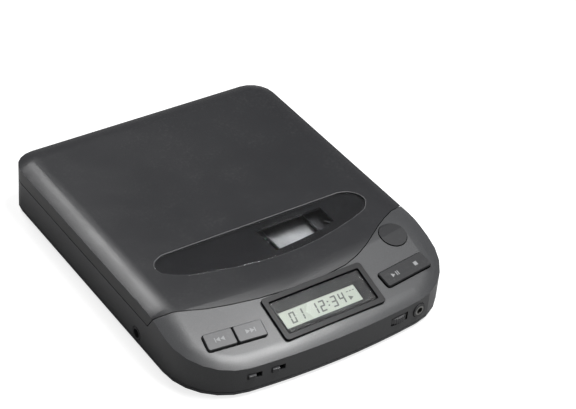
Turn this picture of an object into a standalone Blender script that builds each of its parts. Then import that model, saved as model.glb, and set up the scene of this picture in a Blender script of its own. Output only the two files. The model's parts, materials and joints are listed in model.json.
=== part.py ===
"""Portable disc player with a hinged lid, built as separate pieces in metres, +Z up.

X runs to the player's right, Y to its rear, and the origin is under its middle, at the feet.
"""
import math

import bmesh
import bpy
from mathutils import Matrix, Vector

MM = 0.001

# Driving dimensions of the case
CASE_WIDTH = 130 * MM
CASE_DEPTH = 158 * MM
CASE_HEIGHT = 25.2 * MM
FOOT_HEIGHT = 1 * MM
REAR_RADIUS = 11 * MM
FRONT_RADIUS = 27 * MM
BOW_RISE = 6 * MM
WALL = 1.6 * MM
FLOOR_WALL = 1.5 * MM
SEAM_GAP = 0.3 * MM
PAN_HEIGHT = 1.9 * MM
PAN_ROUND = 1.2 * MM
SHOULDER_WIDTH = 10 * MM
SHOULDER_DROP = 2.4 * MM
FRONT_SHOULDER_WIDTH = 6 * MM
FRONT_SHOULDER_DROP = 1.2 * MM
DECK_RUN = 32 * MM
DECK_DROP = 9.8 * MM
DECK_SOFTNESS = 4 * MM

# Disc and the well that takes it
DISC_RADIUS = 60 * MM
DISC_CLEARANCE = 1.5 * MM
WELL_PLATE = 1 * MM
LEDGE_DEPTH = 2 * MM
LEDGE_THICKNESS = 2.2 * MM
BAND_THICKNESS = 1 * MM
LID_ROOM = 4.7 * MM
RIM_DROP = 1.5 * MM

# Lid
LID_WALL = 1.6 * MM
LID_GAP = 0.4 * MM
LID_SKIRT = 8.7 * MM
LINER_THICKNESS = 0.8 * MM
LINER_INSET = 6 * MM
RUNNING_GAP = 0.3 * MM
SEAT_GAP = 0.3 * MM
OVERRUN = 2 * MM
HINGE_INSET = 2 * MM
HINGE_LIFT = 1.1 * MM

# Counts and shares
ROOF_COLUMNS = 8
REAR_STEPS = 5
CORNER_STEPS = 6
SHOULDER_RINGS = 3
PAN_RINGS = 2
WELL_SIDES = 48
ROUND_SIDES = 28
GROOVE_SIDES = 26
SMALL_SIDES = 12
BORE_SIDES = 8
CORNER_SIDES = 3
CURVE_STEPS = 2
PARTING_STEPS = 3
MERGE_DISTANCE = 0.01 * MM
FLATNESS = 0.0035
SMOOTH_ANGLE = 0.6

# Worked out from the driving dimensions
HALF_WIDTH = CASE_WIDTH / 2
REAR_Y = CASE_DEPTH / 2
FRONT_Y = -CASE_DEPTH / 2
BOW_RADIUS = (HALF_WIDTH ** 2 + BOW_RISE ** 2) / (2 * BOW_RISE)
BOW_CENTRE_Y = FRONT_Y + BOW_RADIUS
CORNER_X = HALF_WIDTH - FRONT_RADIUS
CORNER_Y = BOW_CENTRE_Y - math.sqrt((BOW_RADIUS - FRONT_RADIUS) ** 2 - CORNER_X ** 2)
BREAK_RADIUS = BOW_RADIUS - DECK_RUN
DECK_SLOPE = DECK_DROP / DECK_RUN
FLOOR_TOP = FOOT_HEIGHT + FLOOR_WALL
PAN_TOP = FOOT_HEIGHT + PAN_HEIGHT
LINER_TOP = CASE_HEIGHT - LID_WALL - RUNNING_GAP
LINER_BOTTOM = LINER_TOP - LINER_THICKNESS
WELL_FLOOR = LINER_BOTTOM - LID_ROOM
WELL_UNDERSIDE = WELL_FLOOR - WELL_PLATE
LID_SPLIT = CASE_HEIGHT - LID_SKIRT
CREASE_HEIGHT = CASE_HEIGHT - SHOULDER_DROP
RIM_TOP = CREASE_HEIGHT - RIM_DROP
RIM_INSET = LID_WALL + LID_GAP
SLOT_FLOOR = LID_SPLIT - LID_GAP
LEDGE_BOTTOM = SLOT_FLOOR - LEDGE_THICKNESS
BAND_BOTTOM = SLOT_FLOOR - BAND_THICKNESS
WELL_RADIUS = DISC_RADIUS + DISC_CLEARANCE
HINGE_Y = REAR_Y - HINGE_INSET
HINGE_Z = LID_SPLIT + HINGE_LIFT
GROOVE_RADIUS = math.hypot(HINGE_INSET, HINGE_LIFT) + RUNNING_GAP / 2
SPINDLE_Y = HINGE_Y - GROOVE_RADIUS - WELL_RADIUS - RUNNING_GAP * 3

# Parting line between the lid and the deck, as shares of the half width and half depth
PARTING_SHARES = ((-1.05, -0.525), (-0.877, -0.539), (-0.677, -0.6), (-0.338, -0.656),
                  (0, -0.671), (0.308, -0.654), (0.523, -0.585), (0.708, -0.484),
                  (0.877, -0.408), (1.05, -0.372))
PARTING_LEAN_SHARE = 0.6
PARTING_BEYOND_SHARE = 1.3


def clear_scene():
    """Remove every object, mesh, curve and material that is already there."""
    for thing in list(bpy.data.objects):
        bpy.data.objects.remove(thing)
    for group in (bpy.data.meshes, bpy.data.curves, bpy.data.materials):
        for block in list(group):
            group.remove(block)
    for old in list(bpy.data.collections):
        bpy.data.collections.remove(old)


def new_collection(name):
    made = bpy.data.collections.new(name)
    bpy.context.scene.collection.children.link(made)
    return made


clear_scene()
PARTS = new_collection("portable_cd_player")
CUTTERS = new_collection("cutters")


def principled(name, colour, roughness, metallic=0, alpha=1):
    """One Principled BSDF material for one sub-part."""
    made = bpy.data.materials.new(name + "_finish")
    made.use_nodes = True
    shader = made.node_tree.nodes["Principled BSDF"]
    shader.inputs["Base Color"].default_value = (*colour, 1)
    shader.inputs["Roughness"].default_value = roughness
    shader.inputs["Metallic"].default_value = metallic
    shader.inputs["Alpha"].default_value = alpha
    made.diffuse_color = (*colour, alpha)
    return made


def add_object(name, mesh):
    """An object for a mesh, first kept with the cutters."""
    made = bpy.data.objects.new(name, mesh)
    CUTTERS.objects.link(made)
    made.hide_render = True
    made.display_type = "WIRE"
    return made


def as_part(thing, colour, roughness, metallic=0, alpha=1):
    """Move a finished object to the parts and give it its own finish."""
    CUTTERS.objects.unlink(thing)
    PARTS.objects.link(thing)
    thing.hide_render = False
    thing.display_type = "TEXTURED"
    thing.data.materials.clear()
    thing.data.materials.append(principled(thing.name, colour, roughness, metallic, alpha))
    thing.data.shade_smooth()
    thing.data.set_sharp_from_angle(angle=SMOOTH_ANGLE)
    return thing


def finish_mesh(name, bm):
    """Turn a bmesh into an object with its faces pointing out."""
    bmesh.ops.remove_doubles(bm, verts=bm.verts, dist=MERGE_DISTANCE)
    bmesh.ops.recalc_face_normals(bm, faces=bm.faces)
    mesh = bpy.data.meshes.new(name)
    bm.to_mesh(mesh)
    bm.free()
    return add_object(name, mesh)


def box(name, low, high):
    """A block between two corners."""
    bm = bmesh.new()
    low, high = Vector(low), Vector(high)
    size = Matrix.Diagonal((*(high - low), 1))
    bmesh.ops.create_cube(bm, size=1, matrix=Matrix.Translation((low + high) / 2) @ size)
    return finish_mesh(name, bm)


def cylinder(name, radius, low, high, centre=(0, 0), sides=ROUND_SIDES, axis="Z", top_radius=None):
    """A round bar from low to high along an axis; centre holds its other two coordinates."""
    bm = bmesh.new()
    turn = {"X": Matrix.Rotation(math.pi / 2, 4, "Y"), "Y": Matrix.Rotation(-math.pi / 2, 4, "X"),
            "Z": Matrix.Identity(4)}[axis]
    middle = (low + high) / 2
    place = {"X": (middle, *centre), "Y": (centre[0], middle, centre[1]), "Z": (*centre, middle)}[axis]
    bmesh.ops.create_cone(bm, cap_ends=True, segments=sides, radius1=radius,
                          radius2=radius if top_radius is None else top_radius,
                          depth=high - low, matrix=Matrix.Translation(place) @ turn)
    return finish_mesh(name, bm)


def plate(name, outline, low, high):
    """A flat outline, filled and made thick, from low to high."""
    curve = bpy.data.curves.new(name, "CURVE")
    curve.dimensions = "2D"
    curve.fill_mode = "BOTH"
    curve.extrude = (high - low) / 2
    spline = curve.splines.new("POLY")
    spline.points.add(len(outline) - 1)
    spline.use_cyclic_u = True
    for point, (x, y) in zip(spline.points, outline):
        point.co = (x, y, 0, 1)
    drawn = bpy.data.objects.new(name + "_outline", curve)
    CUTTERS.objects.link(drawn)
    graph = bpy.context.evaluated_depsgraph_get()
    mesh = bpy.data.meshes.new_from_object(drawn.evaluated_get(graph))
    bpy.data.objects.remove(drawn)
    bpy.data.curves.remove(curve)
    bm = bmesh.new()
    bm.from_mesh(mesh)
    bpy.data.meshes.remove(mesh)
    bmesh.ops.translate(bm, verts=bm.verts, vec=(0, 0, (low + high) / 2))
    bmesh.ops.remove_doubles(bm, verts=bm.verts, dist=MERGE_DISTANCE)
    bmesh.ops.dissolve_limit(bm, angle_limit=FLATNESS, verts=bm.verts, edges=bm.edges)
    return finish_mesh(name, bm)


def turned(name, profile, centre=(0, 0), sides=ROUND_SIDES):
    """A profile of (radius, height) points, turned about a vertical axis; a bored one is closed."""
    mesh = bpy.data.meshes.new(name)
    points = [(radius, 0, height) for radius, height in profile]
    bored = profile[0][0] > 0
    edges = [(i, (i + 1) % len(points)) for i in range(len(points) if bored else len(points) - 1)]
    mesh.from_pydata(points, edges, [])
    made = add_object(name, mesh)
    made.location = (*centre, 0)
    spin = made.modifiers.new("spin", "SCREW")
    spin.steps = sides
    spin.render_steps = sides
    spin.use_merge_vertices = True
    spin.merge_threshold = MERGE_DISTANCE
    return made


def tube(name, points, radius):
    """A round wire along a list of points."""
    curve = bpy.data.curves.new(name, "CURVE")
    curve.dimensions = "3D"
    curve.bevel_depth = radius
    curve.bevel_resolution = 1
    curve.use_fill_caps = True
    spline = curve.splines.new("POLY")
    spline.points.add(len(points) - 1)
    for point, place in zip(spline.points, points):
        point.co = (*place, 1)
    drawn = bpy.data.objects.new(name + "_path", curve)
    CUTTERS.objects.link(drawn)
    graph = bpy.context.evaluated_depsgraph_get()
    mesh = bpy.data.meshes.new_from_object(drawn.evaluated_get(graph))
    bpy.data.objects.remove(drawn)
    bpy.data.curves.remove(curve)
    bm = bmesh.new()
    bm.from_mesh(mesh)
    bpy.data.meshes.remove(mesh)
    return finish_mesh(name, bm)


def boolean(thing, other, operation):
    step = thing.modifiers.new(other.name, "BOOLEAN")
    step.operation = operation
    step.object = other
    step.solver = "EXACT"
    weld = thing.modifiers.new("weld", "WELD")
    weld.merge_threshold = MERGE_DISTANCE
    return thing


def cut(thing, *others):
    for other in others:
        boolean(thing, other, "DIFFERENCE")
    return thing


def join(thing, *others):
    for other in others:
        boolean(thing, other, "UNION")
    return thing


def clip(thing, other):
    return boolean(thing, other, "INTERSECT")


def soften(thing, width):
    """Round the edges of a block."""
    step = thing.modifiers.new("soft_edges", "BEVEL")
    step.width = width
    step.segments = 1
    step.limit_method = "ANGLE"
    step.angle_limit = SMOOTH_ANGLE
    step.use_clamp_overlap = True
    return thing


def spot_name(name, spot):
    """Name of a copy by where it stands."""
    front = "front" if spot[1] < 0 else "rear"
    return f"{name}_{front}_{'left' if spot[0] < 0 else 'right'}"


def placed(thing, frame):
    """Put an object, shaped about the origin, into a frame."""
    thing.matrix_world = frame
    return thing


def hang_on(thing, point):
    """Put the object's origin on its joint's axis and leave its shape where it is."""
    thing.data.transform(Matrix.Translation(-Vector(point)))
    thing.location = point
    return thing


def rounded_rectangle(width, height, radius, centre=(0, 0)):
    """Outline points of a rectangle with round corners."""
    points = []
    corners = ((1, 1, 0), (-1, 1, 1), (-1, -1, 2), (1, -1, 3))
    for side_x, side_y, quarter in corners:
        for step in range(CORNER_SIDES + 1):
            angle = (quarter + step / CORNER_SIDES) * math.pi / 2
            points.append((centre[0] + side_x * (width / 2 - radius) + radius * math.cos(angle),
                           centre[1] + side_y * (height / 2 - radius) + radius * math.sin(angle)))
    return points


def smooth_curve(points, steps=CURVE_STEPS):
    """Points on a smooth curve through the given points."""
    held = [points[0], *points, points[-1]]
    out = []
    for a, b, c, d in zip(held, held[1:], held[2:], held[3:]):
        for step in range(steps):
            t = step / steps
            out.append(tuple(0.5 * (2 * q + (r - p) * t + (2 * p - 5 * q + 4 * r - s) * t ** 2
                                    + (3 * q - p - 3 * r + s) * t ** 3)
                             for p, q, r, s in zip(a, b, c, d)))
    out.append(points[-1])
    return out


def bow_distance(x, y):
    """Distance from the centre of the front edge's bow."""
    return math.hypot(x, BOW_CENTRE_Y - y)


def deck_fall(x, y):
    """How far the deck lies below the flat top of the lid."""
    run = bow_distance(x, y) - BREAK_RADIUS
    if run <= -DECK_SOFTNESS:
        return 0
    if run < DECK_SOFTNESS:
        return DECK_SLOPE * (run + DECK_SOFTNESS) ** 2 / (4 * DECK_SOFTNESS)
    return DECK_SLOPE * run


def deck_frame(x, y):
    """Matrix of a spot on the deck: its Z is the deck's normal, its X runs along the bow."""
    run = bow_distance(x, y) - BREAK_RADIUS
    share = min(1, max(0, (run + DECK_SOFTNESS) / (2 * DECK_SOFTNESS)))
    turn = Matrix.Rotation(math.atan2(x, BOW_CENTRE_Y - y), 4, "Z")
    tilt = Matrix.Rotation(math.atan(DECK_SLOPE * share), 4, "X")
    return Matrix.Translation((x, y, CASE_HEIGHT - deck_fall(x, y))) @ turn @ tilt


def wall_frame(x, z):
    """Matrix of a spot on the front wall: its Y points inwards and its X runs along the wall."""
    angle = math.asin(x / BOW_RADIUS)
    y = BOW_CENTRE_Y - BOW_RADIUS * math.cos(angle)
    return Matrix.Translation((x, y, z)) @ Matrix.Rotation(angle, 4, "Z")


def side_stations():
    """Points and outward normals down the right side, from the rear edge to the front bow."""
    out = []
    for step in range(REAR_STEPS + 1):
        angle = math.pi / 2 * (1 - step / REAR_STEPS)
        normal = Vector((math.cos(angle), math.sin(angle)))
        out.append((Vector((HALF_WIDTH - REAR_RADIUS, REAR_Y - REAR_RADIUS)) + normal * REAR_RADIUS,
                    normal))
    break_y = BOW_CENTRE_Y - math.sqrt(BREAK_RADIUS ** 2 - HALF_WIDTH ** 2)
    for y in (0, break_y + DECK_SOFTNESS, break_y, break_y - DECK_SOFTNESS):
        out.append((Vector((HALF_WIDTH, y)), Vector((1, 0))))
    last = math.atan2(CORNER_Y - BOW_CENTRE_Y, CORNER_X)
    for step in range(CORNER_STEPS + 1):
        angle = last * step / CORNER_STEPS
        normal = Vector((math.cos(angle), math.sin(angle)))
        out.append((Vector((CORNER_X, CORNER_Y)) + normal * FRONT_RADIUS, normal))
    return out


def front_share(y):
    """0 along the sides, 1 at the front edge, smooth between."""
    t = min(1, max(0, (CORNER_Y - y) / (CORNER_Y - FRONT_Y - BOW_RISE / 2)))
    return t * t * (3 - 2 * t)


def envelope(name, inset=0, roof_drop=0, low=FOOT_HEIGHT, roof=CASE_HEIGHT, pan_round=0):
    """The case's outer form, drawn in by inset and roof_drop, between low and roof."""
    right = side_stations()
    rows = len(right) - 1
    grid = {}
    for j in range(ROOF_COLUMNS + 1):
        share = 2 * j / ROOF_COLUMNS - 1
        grid[0, j] = (Vector((right[0][0].x * share, REAR_Y)), Vector((0, 1)))
        angle = math.atan2(right[-1][0].x, BOW_CENTRE_Y - right[-1][0].y) * share
        normal = Vector((math.sin(angle), -math.cos(angle)))
        grid[rows, j] = (Vector((0, BOW_CENTRE_Y)) + normal * BOW_RADIUS, normal)
    for k in range(1, rows):
        point, normal = right[k]
        grid[k, ROOF_COLUMNS] = (point, normal)
        grid[k, 0] = (Vector((-point.x, point.y)), Vector((-normal.x, normal.y)))
    loop = ([(0, j) for j in range(ROOF_COLUMNS)] + [(k, ROOF_COLUMNS) for k in range(rows)]
            + [(rows, j) for j in range(ROOF_COLUMNS, 0, -1)] + [(k, 0) for k in range(rows, 0, -1)])
    bm = bmesh.new()

    def roof_point(station, share):
        point, normal = grid[station]
        blend = front_share(point.y)
        width = SHOULDER_WIDTH + (FRONT_SHOULDER_WIDTH - SHOULDER_WIDTH) * blend
        drop = SHOULDER_DROP + (FRONT_SHOULDER_DROP - SHOULDER_DROP) * blend
        depth = inset + (width - inset) * share
        spot = point - normal * depth
        height = CASE_HEIGHT - roof_drop - deck_fall(*spot) - drop * (1 - depth / width) ** 2
        return Vector((*spot, min(roof, height)))

    rings = [[bm.verts.new(roof_point(s, i / SHOULDER_RINGS)) for s in loop]
             for i in range(SHOULDER_RINGS + 1)]
    sheet = dict(zip(loop, rings[-1]))
    for k in range(1, rows):
        edge = sheet[k, ROOF_COLUMNS].co
        bowed = edge.y < 0
        for j in range(1, ROOF_COLUMNS):
            x = edge.x * (2 * j / ROOF_COLUMNS - 1)
            y = edge.y
            if bowed:
                y = BOW_CENTRE_Y - math.sqrt(bow_distance(edge.x, edge.y) ** 2 - x ** 2)
            height = CASE_HEIGHT - roof_drop - deck_fall(x, y)
            sheet[k, j] = bm.verts.new((x, y, min(roof, height)))
    for k in range(rows):
        for j in range(ROOF_COLUMNS):
            bm.faces.new((sheet[k, j], sheet[k, j + 1], sheet[k + 1, j + 1], sheet[k + 1, j]))
    lower = []
    for step in range(PAN_RINGS + 1):
        angle = math.pi / 2 * step / PAN_RINGS
        shift = pan_round * (1 - math.cos(angle))
        height = low + pan_round * (1 - math.sin(angle))
        if pan_round or step == PAN_RINGS:
            lower.append([bm.verts.new((*(grid[s][0] - grid[s][1] * (inset + shift)), height))
                          for s in loop])
    rings = rings[::-1] + lower
    for upper, under in zip(rings, rings[1:]):
        for i in range(len(loop)):
            n = (i + 1) % len(loop)
            bm.faces.new((upper[i], upper[n], under[n], under[i]))
    bm.faces.new(rings[-1])
    bmesh.ops.dissolve_limit(bm, angle_limit=FLATNESS, verts=bm.verts, edges=bm.edges)
    bmesh.ops.triangulate(bm, faces=bm.faces)
    return finish_mesh(name, bm)


def parting_prism(name, forward, behind=True):
    """All that lies behind, or in front of, the lid's front edge moved forward."""
    line = smooth_curve([(x * HALF_WIDTH, y * REAR_Y) for x, y in PARTING_SHARES])
    reach = REAR_Y * (PARTING_BEYOND_SHARE if behind else -PARTING_BEYOND_SHARE)
    bm = bmesh.new()
    rings = []
    top = CASE_HEIGHT + OVERRUN
    heights = [-OVERRUN] + [LEDGE_BOTTOM + (top - LEDGE_BOTTOM) * i / PARTING_STEPS
                            for i in range(PARTING_STEPS + 1)]
    for height in heights:
        ring = []
        for x, y in line:
            lean = PARTING_LEAN_SHARE * (x / HALF_WIDTH) ** 2 * (CREASE_HEIGHT - height)
            ring.append(bm.verts.new((x, y - forward + lean, height)))
        ring.append(bm.verts.new((line[-1][0], reach, height)))
        ring.append(bm.verts.new((line[0][0], reach, height)))
        rings.append(ring)
    for under, over in zip(rings, rings[1:]):
        for i in range(len(under)):
            n = (i + 1) % len(under)
            bm.faces.new((under[i], under[n], over[n], over[i]))
    for ring in (rings[0], rings[-1]):
        bm.faces.new(ring)
    bmesh.ops.triangulate(bm, faces=bm.faces)
    return finish_mesh(name, bm)


# Hinge of the lid
LUG_X = 44 * MM
LUG_LENGTH = 8 * MM
LUG_ROOM = 0.45 * MM
KNUCKLE_LENGTH = 4.7 * MM
KNUCKLE_RADIUS = 1.9 * MM
PIN_RADIUS = 0.6 * MM
PIN_PLAY = 0.15 * MM
WEB_DEPTH = 3.1 * MM


def hinge_spans(side):
    """X spans of the inner knuckle, the lug and the outer knuckle on one side."""
    lug = (LUG_X - LUG_LENGTH / 2, LUG_X + LUG_LENGTH / 2)
    inner = (lug[0] - RUNNING_GAP - KNUCKLE_LENGTH, lug[0] - RUNNING_GAP)
    outer = (lug[1] + RUNNING_GAP, lug[1] + RUNNING_GAP + KNUCKLE_LENGTH)
    return [tuple(sorted((side * a, side * b))) for a, b in (inner, lug, outer)]


def eye(name, span, low, high):
    """A bored barrel about the hinge pin on a web between two (Y, Z) corners."""
    web = box(name + "_web", (span[0], *low), (span[1], *high))
    join(web, cylinder(name + "_barrel", KNUCKLE_RADIUS, *span, (HINGE_Y, HINGE_Z), SMALL_SIDES, "X"))
    return cut(web, eye_bore(name + "_bore", span))


def eye_bore(name, span):
    return cylinder(name, PIN_RADIUS + PIN_PLAY, span[0] - RUNNING_GAP / 2, span[1] + RUNNING_GAP / 2,
                    (HINGE_Y, HINGE_Z), BORE_SIDES, "X")


def build_hinge_pins():
    for name, side in (("hinge_pin_left", -1), ("hinge_pin_right", 1)):
        spans = hinge_spans(side)
        pin = cylinder(name, PIN_RADIUS, min(a for a, b in spans), max(b for a, b in spans),
                       (HINGE_Y, HINGE_Z), SMALL_SIDES, "X")
        as_part(pin, (0.6, 0.6, 0.62), 0.3, 1)


# Window in the lid, as shares of the half width and half depth
WINDOW_END_SHARES = ((-0.662, -0.152), (-0.735, -0.18), (-0.769, -0.235), (-0.75, -0.282))
WINDOW_FRONT_SHARES = ((-0.75, -0.282), (-0.615, -0.354), (-0.308, -0.418), (0, -0.447),
                       (0.308, -0.43), (0.615, -0.373), (0.74, -0.335))
WINDOW_RIGHT_SHARES = ((0.74, -0.335), (0.8, -0.28), (0.8, -0.222), (0.75, -0.172), (0.68, -0.152))
WINDOW_THICKNESS = 1 * MM
WINDOW_RECESS = 0.2 * MM
MASK_THICKNESS = 0.2 * MM
PANE_SHARES = ((0, -0.2), (0.5, -0.2), (0.5, -0.33), (0.385, -0.361), (0.185, -0.38), (0, -0.392))


def window_outline(grow=0):
    """The window's outline; grow moves every point away from the window's middle."""
    share_points = (smooth_curve(WINDOW_END_SHARES)[:-1] + smooth_curve(WINDOW_FRONT_SHARES)[:-1]
                    + smooth_curve(WINDOW_RIGHT_SHARES))
    points = [Vector((x * HALF_WIDTH, y * REAR_Y)) for x, y in share_points]
    out = []
    for i, point in enumerate(points):
        along = points[(i + 1) % len(points)] - points[i - 1]
        outward = Vector((along.y, -along.x)).normalized()
        out.append(tuple(point + outward * grow))
    return out


def pane_outline(grow=0):
    """Outline of the clear area; grow moves it away from its own middle."""
    points = [Vector((x * HALF_WIDTH, y * REAR_Y)) for x, y in PANE_SHARES]
    middle = sum(points, Vector((0, 0))) / len(points)
    return [tuple(p + (p - middle).normalized() * grow) for p in points]


def build_lid():
    """Lid shell with its hinge lugs, liner, window, window mask and catch."""
    lid = envelope("lid_shell", low=LID_SPLIT)
    clip(lid, parting_prism("lid_zone", 0))
    hollow = envelope("lid_hollow", inset=LID_WALL, roof_drop=LID_WALL, low=LID_SPLIT - OVERRUN)
    clip(hollow, parting_prism("lid_hollow_zone", -LID_WALL))
    cut(lid, hollow)
    opening = plate("lid_window_opening", window_outline(RUNNING_GAP), LINER_BOTTOM,
                    CASE_HEIGHT + OVERRUN)
    cut(lid, opening)
    for side in (-1, 1):
        inner, lug, outer = hinge_spans(side)
        for span in (inner, outer):
            cut(lid, box("lid_notch", (span[0] - RUNNING_GAP, HINGE_Y - WEB_DEPTH, LID_SPLIT - OVERRUN),
                         (span[1] + RUNNING_GAP, REAR_Y + OVERRUN,
                          HINGE_Z + KNUCKLE_RADIUS + LID_GAP)))
        join(lid, eye("lug", lug, (HINGE_Y - KNUCKLE_RADIUS + RUNNING_GAP / 2, HINGE_Z),
                      (HINGE_Y + LID_WALL / 2, CREASE_HEIGHT)))
        cut(lid, eye_bore("lug_clearance", lug))
    hang_on(lid, (0, HINGE_Y, HINGE_Z))
    as_part(lid, (0.035, 0.037, 0.04), 0.5)

    liner = cylinder("lid_liner", DISC_RADIUS - LINER_INSET, LINER_BOTTOM, LINER_TOP, (0, SPINDLE_Y),
                     WELL_SIDES)
    cut(liner, cylinder("liner_hub_hole", HUB_RADIUS + HUB_RECESS, LINER_BOTTOM - OVERRUN,
                        LINER_TOP + OVERRUN, (0, SPINDLE_Y)))
    cut(liner, plate("liner_pane_hole", pane_outline(RUNNING_GAP), LINER_BOTTOM - OVERRUN,
                     LINER_TOP + OVERRUN))
    hang_on(liner, (0, HINGE_Y, HINGE_Z))
    as_part(liner, (0.05, 0.05, 0.055), 0.6)

    top = CASE_HEIGHT - WINDOW_RECESS
    window = plate("lid_window", window_outline(), top - WINDOW_THICKNESS, top)
    hang_on(window, (0, HINGE_Y, HINGE_Z))
    as_part(window, (0.02, 0.02, 0.022), 0.05, alpha=0.4)
    mask = plate("window_mask", window_outline(-RUNNING_GAP), LINER_TOP + RUNNING_GAP,
                 LINER_TOP + RUNNING_GAP + MASK_THICKNESS)
    cut(mask, plate("mask_hole", pane_outline(), LINER_TOP, top))
    hang_on(mask, (0, HINGE_Y, HINGE_Z))
    as_part(mask, (0.01, 0.01, 0.01), 0.4)


# Catch on the lid and the latch slide that holds it
CATCH_INSET = 25 * MM
CATCH_SHARE = -0.46329
CATCH_X = HALF_WIDTH - CATCH_INSET
CATCH_Y = REAR_Y * CATCH_SHARE
CATCH_WIDTH = 5 * MM
CATCH_STEM = 1.4 * MM
CATCH_FOOT = 9 * MM
CATCH_PLATE = 1 * MM
BARB_DEPTH = 1.2 * MM
BARB_HEIGHT = 1.2 * MM
CATCH_REACH = 11.2 * MM
CATCH_ROOM = 1 * MM
LATCH_THICKNESS = 1.2 * MM


def build_catch():
    """Hook under the lid's front right, with its barb to the rear."""
    bottom = LINER_TOP - CATCH_REACH
    catch = box("lid_catch", (CATCH_X - CATCH_FOOT / 2, CATCH_Y - CATCH_STEM / 2, LINER_TOP - CATCH_PLATE),
                (CATCH_X + CATCH_FOOT / 2, CATCH_Y + CATCH_FOOT / 2, LINER_TOP))
    join(catch, box("catch_stem", (CATCH_X - CATCH_WIDTH / 2, CATCH_Y - CATCH_STEM / 2, bottom),
                    (CATCH_X + CATCH_WIDTH / 2, CATCH_Y + CATCH_STEM / 2, LINER_TOP - CATCH_PLATE / 2)))
    join(catch, box("catch_barb", (CATCH_X - CATCH_WIDTH / 2, CATCH_Y, bottom),
                    (CATCH_X + CATCH_WIDTH / 2, CATCH_Y + CATCH_STEM / 2 + BARB_DEPTH,
                     bottom + BARB_HEIGHT)))
    hang_on(catch, (0, HINGE_Y, HINGE_Z))
    as_part(catch, (0.03, 0.03, 0.03), 0.5)


# Drive in the middle of the well
HUB_RADIUS = 7.4 * MM
HUB_RECESS = 1.6 * MM
HUB_HEIGHT = 2.6 * MM
PLATTER_RADIUS = 14 * MM
PLATTER_THICKNESS = 1.8 * MM
PLATTER_LIFT = 1.6 * MM
SHAFT_RADIUS = 0.75 * MM
SHAFT_PLAY = 0.3 * MM
BOSS_RADIUS = 4 * MM
CLAW_COUNT = 3
CLAW_WIDTH = 2.2 * MM
CLAW_RING_RADIUS = 4.6 * MM
CLAW_REACH = 0.35 * MM
CLAW_HEIGHT = 1 * MM
MOTOR_RADIUS = 11 * MM
MOTOR_HEIGHT = 7.5 * MM
CHASSIS_THICKNESS = 1 * MM
CHASSIS_DROP = 4 * MM
PLATTER_TOP = WELL_FLOOR + PLATTER_LIFT
CHASSIS_TOP = WELL_FLOOR - CHASSIS_DROP + CHASSIS_THICKNESS
CHASSIS_BOTTOM = CHASSIS_TOP - CHASSIS_THICKNESS
CHASSIS_LEFT = -30 * MM
CHASSIS_RIGHT = 36 * MM
CHASSIS_BEHIND = 21.83 * MM
CHASSIS_AHEAD = 62.77 * MM
CHASSIS_REAR = SPINDLE_Y + CHASSIS_BEHIND
CHASSIS_FRONT = SPINDLE_Y - CHASSIS_AHEAD
CHASSIS_RADIUS = 4 * MM
OPENING_LEFT = -20 * MM
OPENING_RIGHT = 28 * MM
OPENING_BEHIND = 18.83 * MM
OPENING_AHEAD = 48.17 * MM
OPENING_REAR = SPINDLE_Y + OPENING_BEHIND
OPENING_FRONT = SPINDLE_Y - OPENING_AHEAD
OPENING_RADIUS = 6 * MM
LENS_START = 24 * MM
LENS_TRAVEL = 33 * MM
LENS_RADIUS = 1.6 * MM
HOLDER_RADIUS = 2.6 * MM
SLOT_HALF_WIDTH = 9 * MM
SLED_LEFT = -12 * MM
SLED_RIGHT = 18 * MM
SLED_DEPTH = 12 * MM
SLED_NOSE = 3.2 * MM
SLED_HEIGHT = 4.5 * MM
NECK_HALF_WIDTH = 7 * MM
NECK_DEPTH = 8 * MM
NECK_DROP = 1.4 * MM
ROD_RADIUS = 1 * MM
ROD_LEFT = -9 * MM
ROD_RIGHT = 14.5 * MM
ROD_PLAY = 0.15 * MM
LUG_THICKNESS = 1.4 * MM
LUG_HALF_WIDTH = 2.2 * MM
LENS_Y = SPINDLE_Y - LENS_START
SLED_FRONT = LENS_Y - SLED_NOSE
SLED_TOP = CHASSIS_BOTTOM - RUNNING_GAP
SLED_BOTTOM = SLED_TOP - SLED_HEIGHT
ROD_Z = SLED_TOP - SLED_HEIGHT / 2
ROD_FRONT_Y = SLED_FRONT - LENS_TRAVEL - LUG_THICKNESS / 2 - RUNNING_GAP * 2
ROD_REAR_Y = SPINDLE_Y - MOTOR_RADIUS - LUG_THICKNESS / 2 - RUNNING_GAP


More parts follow.
